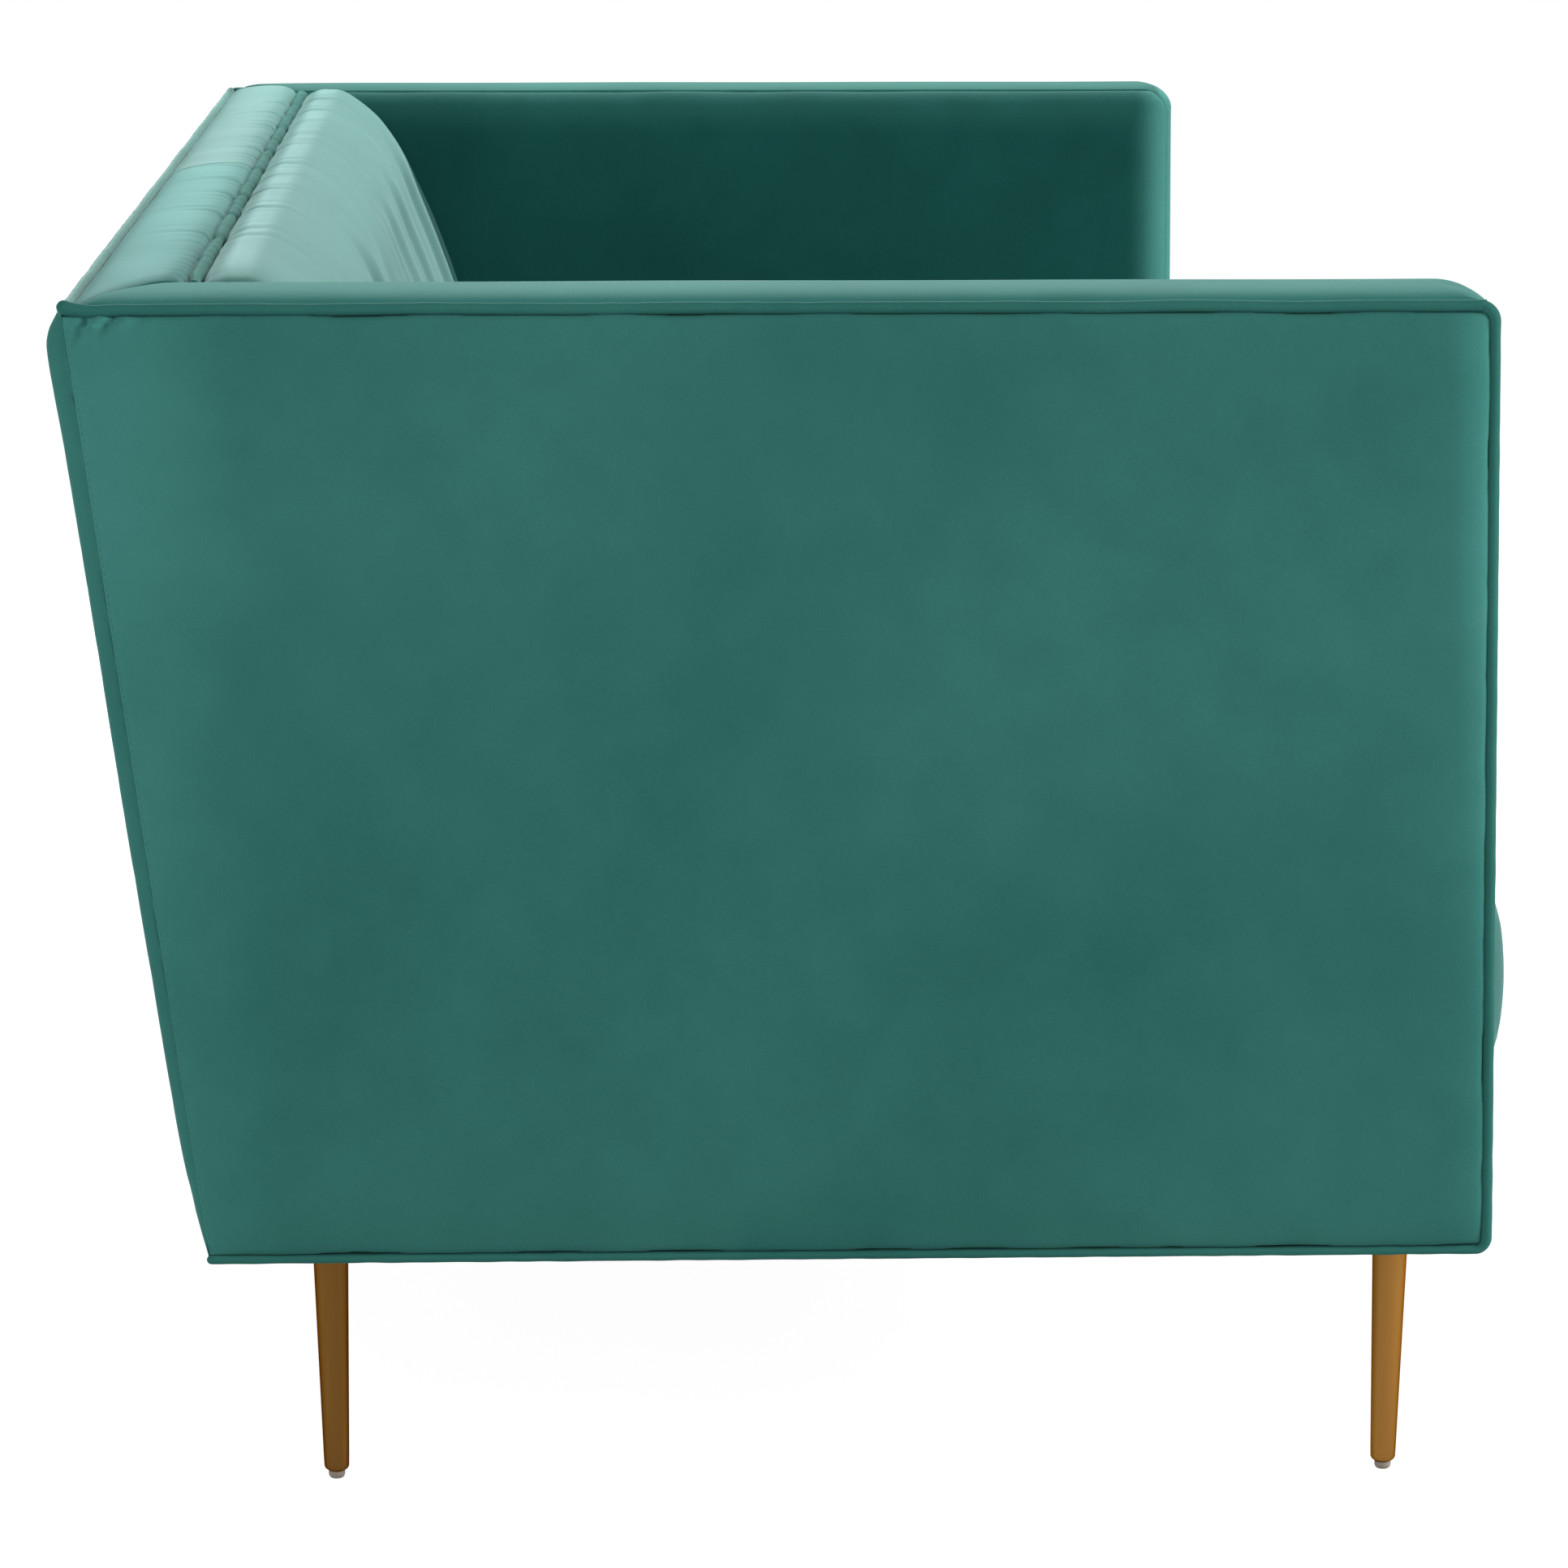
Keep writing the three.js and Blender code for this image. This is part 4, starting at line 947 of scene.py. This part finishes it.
def side_piping(side_name):
    """One cord along the low edge, up the front and back along the top, to the knob at the rear corner."""
    side = SIDES[side_name]
    front, rear_high = WELT_FRONT, BACK_WELT_Y
    rear_low = rear_seam(LOW_SEAM) - 1.2 * MM

    def bend(z, radius, start, stop):
        return [
            (front + radius + radius * math.cos(a), z + radius * math.sin(a))
            for a in np.radians(np.linspace(start, stop, 10))
        ]

    def run(a, b):
        count = max(3, int(math.dist(a, b) / (3 * MM)))
        return [tuple(mix(np.array(a), np.array(b), share)) for share in np.linspace(0, 1, count)[1:-1]]

    low_bend = bend(LOW_SEAM + LOW_CORNER, LOW_CORNER, -90, -180)
    high_bend = bend(TOP_SEAM - HIGH_CORNER, HIGH_CORNER, 180, 90)
    rear_end = (rear_low, LOW_SEAM)
    line = np.array([
        rear_end, *run(rear_end, low_bend[0]), *low_bend, *run(low_bend[-1], high_bend[0]), *high_bend,
        *run(high_bend[-1], (rear_high, TOP_SEAM)), (rear_high, TOP_SEAM),
    ])
    y, z = line[:, 0], line[:, 1]
    lean = front_lean(z) * (y < front + HIGH_CORNER)
    along_top = z > TOP_SEAM - 0.1 * MM
    from_knob = rear_high - y
    knob = KNOB[side_name] * along_top * np.exp(-np.clip(from_knob, 0, None) / (5 * MM))
    below = 0.8 * MM * smoothstep((LOW_SEAM + LOW_CORNER - z) / LOW_CORNER)
    dip = along_top * bell(from_knob - 16 * MM, 9 * MM)
    wave = ripple(y + z, 101, 0.1) * 0.35 * MM
    height = z + wave * along_top + 1.6 * MM * knob - 0.9 * MM * dip - below
    points = stack(side * (WELT_X + 0.3 * wave), y + lean, height)
    width = WELT_RADIUS + ripple(y - z, 102, 0.03) * 0.12 * MM + 1.1 * MM * knob - below
    made = piping(f"side_piping_{side_name}", points, width, PIPING_VELVET_PAINTED_SHADE, up=(1, 0, 0))
    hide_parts(f"arm_welt_{side_name}")


def back_piping():
    """The cord along the back's top edge, in the top's velvet: pale with its painted sheen, and deeper at its
    right end with its painted shade.
    """
    reach = HALF_LENGTH - 2 * WELT_RADIUS
    x = steps(-reach, reach, 3 * MM)
    width = WELT_RADIUS - 0.4 * MM + ripple(x, 111, 0.03) * 0.12 * MM
    line = stack(
        x, BACK_WELT_Y + ripple(x, 112, 0.2) * 0.3 * MM, TOP_SEAM + ripple(x, 113, 0.15) * 0.3 * MM,
    )
    made = piping("back_piping", line, width, TOP_VELVET_PAINTED_SHEEN_AND_SHADE["right"])
    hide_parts("back_welt")


# Seat: cushion, front border and deck felt

CUSHION_EDGE = 12 * MM
CUSHION_FRONT = cushion_box[0].y + 16 * MM
CUSHION_TOP_SEAM = cushion_box[0].z + 126 * MM
CUSHION_REACH = cushion_box[1].x - 1.5 * MM
CUSHION_REAR = cushion_box[1].y - 2 * MM
CUSHION_LOW = cushion_box[0].z + 0.5 * MM


def cushion_start():
    """The seat cushion before it swells: a long box with soft edges and a slight crown."""
    y0, y1, z0, z1 = CUSHION_FRONT, CUSHION_REAR, CUSHION_LOW, CUSHION_TOP_SEAM
    r = CUSHION_EDGE
    corners = [(y0 + r, z0 + r, 180), (y1 - r, z0 + r, 270), (y1 - r, z1 - r, 0), (y0 + r, z1 - r, 90)]
    rings = []
    turn_in = [(r * (1 - math.sin(a)), r * (1 - math.cos(a))) for a in np.radians((10, 30, 50, 70))]
    stations = [(-CUSHION_REACH + d, inset) for inset, d in turn_in]
    stations += [(x, 0) for x in steps(-CUSHION_REACH + r, CUSHION_REACH - r, 20 * MM)]
    stations += [(CUSHION_REACH - d, inset) for inset, d in reversed(turn_in)]
    for x, inset in stations:
        outline = rounded_loop(corners, r - inset, 5)
        length = run_length(outline)
        wanted = np.linspace(0, length[-1], 160, endpoint=False)
        y, z = (np.interp(wanted, length, outline[:, i]) for i in (0, 1))
        across = (2 * y - y0 - y1) / (y1 - y0)
        level = (2 * z - z0 - z1) / (z1 - z0)
        belly = 9.5 * MM * np.clip(1 - level ** 2, 0, None) * smoothstep((np.abs(across) - 0.8) * 5)
        y = y - belly * (across < 0) + belly * 0.1 * (across > 0)
        crown = 28 * MM * (1 - (x / CUSHION_REACH) ** 6) * (1 - np.abs(across) ** 2.4)
        z = z + np.clip(crown, 0, None) * np.clip((z - z0) / (z1 - z0), 0, 1) ** 2
        rings.append(stack(x, y, z))
    return loft(rings)


# A tightly woven cover on a firm filling: it stretches little and bends easily.
CLOTH_SETTINGS = {
    "quality": 5, "mass": 0.1, "tension_stiffness": 7, "compression_stiffness": 6, "shear_stiffness": 3,
    "bending_stiffness": 0.3, "use_pressure": True,
}


def evaluated(pad):
    """The mesh that a pad's modifiers give, and its points."""
    mesh = bpy.data.meshes.new_from_object(pad.evaluated_get(bpy.context.evaluated_depsgraph_get()))
    points = np.empty(len(mesh.vertices) * 3)
    mesh.vertices.foreach_get("co", points)
    return mesh, points.reshape(-1, 3)


def blow_up(pad, voxel, held, pressure, cap):
    """Blows the pad up as cloth over its stuffing. What is held stays put, and no point moves past the cap."""
    scene, frames = bpy.context.scene, 20
    remesh = pad.modifiers.new("even_mesh", "REMESH")
    remesh.mode = "VOXEL"
    remesh.voxel_size = voxel
    even, start = evaluated(pad)
    pad.modifiers.clear()
    pad.data = even
    seams = pad.vertex_groups.new(name="seams")
    for index in np.nonzero(held(start))[0]:
        seams.add([int(index)], 1.0, "REPLACE")
    cloth = pad.modifiers.new("cloth", "CLOTH")
    for name, value in CLOTH_SETTINGS.items():
        setattr(cloth.settings, name, value)
    cloth.settings.uniform_pressure_force = pressure
    cloth.settings.effector_weights.gravity = 0
    cloth.settings.vertex_group_mass = "seams"
    cloth.collision_settings.use_collision = False
    cloth.point_cache.frame_start = 1
    cloth.point_cache.frame_end = frames
    for step in range(1, frames + 1):
        scene.frame_set(step)
    moved = evaluated(pad)[1] - start
    far = np.linalg.norm(moved, axis=1)[:, None]
    moved = moved * np.tanh(far / cap) * cap / np.maximum(far, 1e-9)
    pad.modifiers.clear()
    pad.vertex_groups.clear()
    scene.frame_set(1)
    return start + moved


def soft_limit(value, limit, margin):
    """Eases a value up to a limit that it doesn't pass."""
    over = np.clip(value - limit + margin, 0, None)
    return np.where(over > 0, limit - margin * np.exp(-over / margin), value)


def cushion_seam_distance(points):
    """How far points lie from the nearer of the two lines where the cushion's boxing is sewn to its panels."""
    edge = CUSHION_EDGE * (1 - math.sqrt(0.5))
    reach_x, front, rear = CUSHION_REACH - edge, CUSHION_FRONT + edge, CUSHION_REAR - edge
    x, y, z = points.T
    outside = np.hypot(
        np.clip(np.abs(x) - reach_x, 0, None), np.clip(np.maximum(front - y, y - rear), 0, None),
    )
    inside = np.minimum(np.minimum(reach_x - np.abs(x), y - front), rear - y)
    level = np.where(inside > 0, inside, outside)
    return np.minimum(np.hypot(level, z - CUSHION_LOW - edge), np.hypot(level, z - CUSHION_TOP_SEAM + edge))


def seat_cushion():
    """The cushion, swollen between its two seams and eased to stay inside its place in the sofa."""
    low, high = cushion_box
    points, faces = cushion_start()
    made = piece("seat_cushion_cover", points, faces, CUSHION_VELVET_PAINTED_SHEEN, "seat_velvet")
    moved = blow_up(
        made, voxel=9 * MM, held=lambda at: cushion_seam_distance(at) < 7 * MM, pressure=4, cap=30 * MM,
    )
    x, y, z = moved.T
    x = np.sign(x) * soft_limit(np.abs(x), high.x, 3 * MM)
    y = soft_limit(y, high.y, 3 * MM)
    y = -soft_limit(-y, -low.y, 3 * MM)
    z = np.maximum(soft_limit(z, high.z, 12 * MM), low.z + 0.3 * MM)
    made.data.vertices.foreach_set("co", stack(x, y, z).ravel())
    made.data.shade_smooth()
    made.data.materials.clear()
    made.data.materials.append(CUSHION_VELVET_PAINTED_SHEEN)
    smooth = made.modifiers.new("smooth", "SUBSURF")
    smooth.levels = smooth.render_levels = 1
    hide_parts("seat_cushion")


def cushion_piping(name, z):
    """The cord round the cushion's edge, where its boxing meets the panel above or below."""
    edge, corner = 3.4 * MM, 26 * MM
    reach = CUSHION_REACH - edge + 2 * MM - corner
    front = CUSHION_FRONT + edge - 2 * MM + corner
    rear = cushion_box[1].y - edge - 0.5 * MM - corner
    centres = [(reach, rear, 0), (-reach, rear, 90), (-reach, front, 180), (reach, front, 270)]
    line = rounded_loop(centres, corner, 12)
    length = run_length(line)
    wanted = np.linspace(0, length[-1], int(length[-1] / (4 * MM)), endpoint=False)
    x, y = (np.interp(wanted, length, line[:, i]) for i in (0, 1))
    path = stack(x, y, z + ripple(wanted, 151, 0.15) * 0.5 * MM)
    angle = circle(14)
    ahead = np.roll(path, -1, axis=0) - np.roll(path, 1, axis=0)
    across = np.cross(ahead, (0, 0, 1))
    across /= np.linalg.norm(across, axis=1)[:, None]
    radius = 3 * MM
    rings = np.array([
        point + radius * (np.cos(angle)[:, None] * outwards + np.sin(angle)[:, None] * np.array((0, 0, 1)))
        for point, outwards in zip(path, across)
    ])
    count, sides = rings.shape[:2]
    index = np.arange(count * sides).reshape(count, sides)
    after, beside = np.roll(index, -1, axis=0), np.roll(index, -1, axis=1)
    faces = np.stack([index, beside, np.roll(after, -1, axis=1), after], axis=-1).reshape(-1, 4).tolist()
    piece(name, rings.reshape(-1, 3), faces, PIPING_VELVET_PAINTED_SHADE, "piping_velvet", sharp=80)


def front_border():
    """The strip under the cushion, from one arm's boxing to the other's."""
    low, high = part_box("front_border")
    half, back = BOXING_OUTER - TOP_DOME[-1, 0] - 0.6 * MM, high.y

    def place(s, t, h):
        return stack(mix(-half, half, t), back - h, mix(low.z, high.z, s))

    def height(s, t):
        x, z = mix(-half, half, t), mix(low.z, high.z, s)
        from_end = half - np.abs(x)
        edge = roll_in(from_end, 8 * MM) * roll_in(z - low.z, 9 * MM) * roll_in(high.z - z, 9 * MM)
        lumps = ripple(x, 121, 0.3) * 0.4 * MM
        return (high.y - low.y - 0.6 * MM) * (0.25 + 0.75 * edge) + lumps * edge

    across = close_ends(high.z - low.z, near=10 * MM) / (high.z - low.z)
    along = close_ends(2 * half, near=10 * MM, pitch=8 * MM) / (2 * half)
    made = cover("front_border_cover", place, height, across, along, COVER_VELVET, "cover_velvet")
    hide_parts("front_border")


def deck_felt():
    """The felt over the springs, a little uneven where it has been sat on."""
    low, high = deck_box

    def place(s, t, h):
        return stack(mix(low.x, high.x, t), mix(low.y, high.y, s), low.z + h)

    def height(s, t):
        x, y = mix(low.x, high.x, t), mix(low.y, high.y, s)
        return (high.z - low.z) - 0.5 * MM + 0.25 * MM * ripple(x, 131, 0.1) * ripple(y, 132, 0.1)

    made = cover(
        "deck_felt", place, height, np.linspace(0, 1, 60), np.linspace(0, 1, 140), CHARCOAL_FELT_PAINTED_SHADE, "deck_felt",
    )
    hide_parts("seat_deck_pad")


# Suspension webs and dust cover

def back_web(number):
    """One elastic strap across the back frame, drawn tight, with a woven edge rib on each side."""
    low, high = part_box(f"back_web_{number}")
    slope = BACK_RAKE / (TOP_SEAM - LOW_SEAM)
    thick, rib_width, weave_pitch = 1.5 * MM, 2 * MM, 2.5 * MM
    width = high.z - low.z

    def place(s, t, h):
        z = mix(low.z, high.z, s)
        return stack(mix(low.x, high.x, t), low.y + slope * (z - low.z) + thick - h, z)

    def height(s, t):
        rib = 0.25 * MM * (bell(s * width, rib_width) + bell((1 - s) * width, rib_width))
        weave = 0.08 * MM * np.sin(2 * math.pi * s * width / weave_pitch)
        return thick - 0.35 * MM + rib + weave

    made = cover(
        f"back_webbing_{number}", place, height, np.linspace(0, 1, 81), np.linspace(0, 1, 40),
        WEBBING, "back_webbing",
    )
    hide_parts(f"back_web_{number}")


def dust_cover():
    """Black cloth under the base, notched round the leg plates, with small ripples that fade towards its
    edges.
    """
    low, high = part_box("dust_cover")
    plate_low, plate_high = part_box("leg_plate_front_right")
    rear_low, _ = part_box("leg_plate_rear_right")
    margin = 12 * MM
    notch_x = plate_low.x - margin
    notch_front, notch_rear = plate_high.y + margin, rear_low.y - margin
    leg_low, leg_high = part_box("centre_support_leg")
    hole = (leg_high.x - leg_low.x) / 2 + 3 * MM

    def stations(*marks):
        parts = [steps(a, b, pitch * MM) for a, b, pitch in zip(marks, marks[1:], (12, 14, 6, 14, 12))]
        return np.unique(np.concatenate(parts))

    xs = stations(-high.x, -notch_x, -hole, hole, notch_x, high.x)
    ys = stations(low.y, notch_front, -hole, hole, notch_rear, high.y)
    sag = (high.z - low.z) / 2
    made = bmesh.new()
    grid = {}
    for i, x in enumerate(xs):
        for j, y in enumerate(ys):
            wave = 0.25 * MM * float(ripple(x, 141, 0.2) * ripple(y, 142, 0.2))
            edge = min(1, min(high.x - abs(x), y - low.y, high.y - y) / (10 * MM))
            grid[i, j] = made.verts.new((x, y, low.z + sag + wave * edge))
    for i in range(len(xs) - 1):
        for j in range(len(ys) - 1):
            x, y = (xs[i] + xs[i + 1]) / 2, (ys[j] + ys[j + 1]) / 2
            cut_out = abs(x) > notch_x and not notch_front < y < notch_rear
            if cut_out or (abs(x) < hole and abs(y) < hole):
                continue
            made.faces.new((grid[i, j], grid[i + 1, j], grid[i + 1, j + 1], grid[i, j + 1]))
    loose = [vert for vert in made.verts if not vert.link_faces]
    bmesh.ops.delete(made, geom=loose, context="VERTS")
    mesh = bpy.data.meshes.new("dust_cloth")
    made.to_mesh(mesh)
    made.free()
    cloth = add_object("dust_cloth", mesh)
    thicken = cloth.modifiers.new("thickness", "SOLIDIFY")
    thicken.thickness = 0.4 * MM
    thicken.offset = 0
    mesh.shade_smooth()
    mesh.materials.append(DUST_CLOTH)
    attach(cloth, "root")
    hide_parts("dust_cover")


# Legs and glides

def turned(name, profile, centre, foot_shift, finish, slot, sides=64, thread=None):
    """A turned piece from radius and height pairs. Its foot may stand aside from its top, both kept level."""
    upright_from = thread["from"] if thread else max(z for _, z in profile)
    angle = circle(sides)
    rings = []
    for radius, z in profile:
        r = np.full(sides, radius)
        if thread and z > thread["from"]:
            turn = (z / thread["pitch"] - angle / (2 * math.pi)) % 1
            r = r - thread["depth"] * np.abs(2 * turn - 1)
        shift = foot_shift * (1 - min(z, upright_from) / upright_from)
        rings.append(stack(centre[0] + r * np.cos(angle), centre[1] + shift + r * np.sin(angle), z))
    return piece(name, *loft(rings), finish, slot, sharp=40)


def leg(end, side_name):
    """A tapered tube with a rounded foot rim, and above it the threaded stud that screws into the block."""
    node = f"leg_{end}_{side_name}"
    low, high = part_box(node)
    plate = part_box(f"leg_plate_{end}_{side_name}")
    tube_top = plate[0].z - CLEARANCE
    x = (low.x + high.x) / 2
    top_radius, foot_radius, rim, stud = (high.x - low.x) / 2, 7.35 * MM, 3.2 * MM, 4 * MM
    y_top = (plate[0].y + plate[1].y) / 2
    glide_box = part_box(f"glide_{end}_{side_name}")
    shift = (glide_box[0].y + glide_box[1].y) / 2 - y_top
    axis, bore, bore_top = 0.3 * MM, 2.8 * MM, glide_box[1].z + CLEARANCE
    profile = [(axis, bore_top), (bore, bore_top), (bore, low.z)]
    for a in np.radians(np.linspace(0, 90, 8)):
        profile.append((foot_radius - rim * (1 - math.sin(a)), low.z + rim * (1 - math.cos(a))))
    for share in np.linspace(0, 1, 30)[1:]:
        z = mix(low.z + rim, tube_top - 0.8 * MM, share)
        profile.append((mix(foot_radius, top_radius, (z - low.z) / (tube_top - low.z)), z))
    profile += [(top_radius - 0.6 * MM, tube_top), (4.6 * MM, tube_top), (stud, tube_top + 0.05 * MM)]
    profile += [(stud, z) for z in steps(tube_top + 0.4 * MM, high.z - 0.8 * MM, 0.25 * MM)]
    profile += [(stud - 0.8 * MM, high.z), (axis, high.z)]
    made = turned(
        f"brass_{node}", profile, (x, y_top), shift * tube_top / (tube_top - low.z), BRASS, "leg_brass",
        thread={"from": tube_top + 0.3 * MM, "pitch": 1.25 * MM, "depth": 0.7 * MM},
    )
    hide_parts(node)


def glide(end, side_name):
    """A moulded dome with a softly rounded rim, and the stem that presses into the leg's bore."""
    node = f"glide_{end}_{side_name}"
    low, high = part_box(node)
    x, y = (low.x + high.x) / 2, (low.y + high.y) / 2
    radius, shoulder, flat, stem, axis = (high.x - low.x) / 2, 4.6 * MM, 2.6 * MM, 2.5 * MM, 0.3 * MM
    profile = [(axis, 0), (flat, 0)]
    for a in np.radians(np.linspace(15, 90, 9)):
        profile.append((flat + (radius - flat) * math.sin(a), 3.2 * MM * (1 - math.cos(a))))
    profile += [(radius, shoulder - 0.5 * MM), (radius - 0.5 * MM, shoulder), (stem, shoulder)]
    profile += [(stem, high.z - 0.6 * MM), (2 * MM, high.z), (axis, high.z)]
    made = turned(f"dome_{node}", profile, (x, y), 0, PLASTIC, "glide_plastic", sides=48)
    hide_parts(node)


def dress_frame():
    """The hidden frame keeps its shapes and gets its real finishes."""
    finishes = {
        HARDWOOD: ("rail", "post", "upright", "block"), SPRING_WIRE: ("spring",), ZINC: ("leg_plate",),
        ENAMEL: ("centre_support_leg",),
    }
    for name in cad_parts:
        for finish, words in finishes.items():
            node = bpy.data.objects.get(name)
            if node and any(word in name for word in words):
                node.data.materials.clear()
                node.data.materials.append(finish)


for name in SIDES:
    side_cover(name)
    rear_stitches(name)
    arm_boxing(name)
    inner_arm_cover(name)
    back_top_cover(name)
    side_piping(name)
ruched_welt()
inner_back()
outer_back()
back_piping()
seat_cushion()
cushion_piping("cushion_piping_top", CUSHION_TOP_SEAM - 1.5 * MM)
cushion_piping("cushion_piping_bottom", cushion_box[0].z + 4 * MM)
front_border()
deck_felt()
for number in (1, 2):
    back_web(number)
dust_cover()
for name in SIDES:
    for end in ("front", "rear"):
        leg(end, name)
        glide(end, name)
dress_frame()


# Camera: it looks along the sofa from the left end, a third of a metre above the covers

CAMERA_PLACE = Vector((-4.5704, 0.1565, 1.0421))
CAMERA_PAN = math.radians(1.898)
CAMERA_TILT = math.radians(7.684)
CAMERA_LENS = 144.2
CAMERA_SHIFT = (0.0285, -0.1508)


def aim(name, data, place, ahead):
    """Puts a camera or a lamp in its place, looking ahead."""
    made = add_object(name, data)
    made.location = place
    made.rotation_mode = "QUATERNION"
    made.rotation_quaternion = ahead.to_track_quat("-Z", "Y")
    return made


def add_camera():
    """A long lens, panned and tilted a little, with the small shift that is left over."""
    data = bpy.data.cameras.new("camera")
    data.lens = CAMERA_LENS
    data.sensor_width = 36
    data.shift_x, data.shift_y = CAMERA_SHIFT
    ahead = Vector((
        math.cos(CAMERA_TILT) * math.cos(CAMERA_PAN),
        -math.cos(CAMERA_TILT) * math.sin(CAMERA_PAN),
        -math.sin(CAMERA_TILT),
    ))
    bpy.context.scene.camera = aim("camera", data, CAMERA_PLACE, ahead)


def add_lamp(name, place, target, size, power):
    """A white softbox of a size in metres and a power in watts, turned to its target."""
    data = bpy.data.lights.new(name, "AREA")
    data.shape = "RECTANGLE"
    data.size, data.size_y = size
    data.energy = power
    aim(name, data, place, Vector(target) - Vector(place))


# The sweep's own grey, and the glow that, at this share of it, makes it plain white to the camera
PAPER_GREY, GLOW, GLOW_SHARE = 0.72, 1.36, 0.7
# How strongly the white surroundings light the sofa
AMBIENT = 0.24


def seen_directly(tree, in_reflections):
    """1 for what the camera sees itself, and a share of that for what a reflection shows."""
    path = add_node(tree, "ShaderNodeLightPath")
    return add_node(tree, "ShaderNodeMath", {
        0: path.outputs["Is Glossy Ray"], 1: in_reflections, 2: path.outputs["Is Camera Ray"],
    }, operation="MULTIPLY_ADD")


def add_floor():
    """A pale sweep: most of what the camera sees of it is plain white, and the rest takes the shadow."""
    reach = 40
    corners = [(-reach, -reach, 0), (reach, -reach, 0), (reach, reach, 0), (-reach, reach, 0)]
    mesh = bpy.data.meshes.new("floor")
    mesh.from_pydata(corners, [], [(0, 1, 2, 3)])
    floor = add_object("floor", mesh)
    made = bpy.data.materials.new("white_paper_sweep")
    tree = empty_tree(made)
    paper = add_node(tree, "ShaderNodeBsdfDiffuse", {"Color": (PAPER_GREY, PAPER_GREY, PAPER_GREY, 1)})
    white = add_node(tree, "ShaderNodeEmission", {"Color": (1, 1, 1, 1), "Strength": GLOW})
    share = add_node(tree, "ShaderNodeMath", {
        0: seen_directly(tree, 0.4), 1: GLOW_SHARE,
    }, operation="MULTIPLY")
    both = add_node(tree, "ShaderNodeMixShader", {0: share, 1: paper, 2: white})
    add_node(tree, "ShaderNodeOutputMaterial", {"Surface": both})
    mesh.materials.append(made)


def add_world():
    """Even pale light from all round, and plain white where the camera or a reflection sees it."""
    world = bpy.data.worlds.new("studio")
    bpy.context.scene.world = world
    tree = empty_tree(world)
    strength = add_node(tree, "ShaderNodeMapRange", {
        "Value": seen_directly(tree, 0.6), "To Min": AMBIENT, "To Max": 1.0,
    })
    light = add_node(tree, "ShaderNodeBackground", {"Color": (1, 1, 1, 1), "Strength": strength})
    add_node(tree, "ShaderNodeOutputWorld", {"Surface": light})


add_camera()
add_floor()
add_world()
add_lamp("overhead_softbox", (2.3, 0.0, 2.6), (0.3, 0, 0.6), (2.2, 1.6), 146)
add_lamp("side_fill", (-4.2, 0.4, 1.5), (-1, 0, 0.4), (2.2, 1.6), 32)
add_lamp("front_fill", (-1.9, -4.2, 2.0), (-0.7, 0, 0.5), (1.6, 1.6), 195)
add_lamp("rear_fill", (-2.1, 4.0, 1.4), (-0.9, 0.3, 0.4), (1.8, 1.8), 54)
bpy.context.scene.view_settings.view_transform = "Standard"
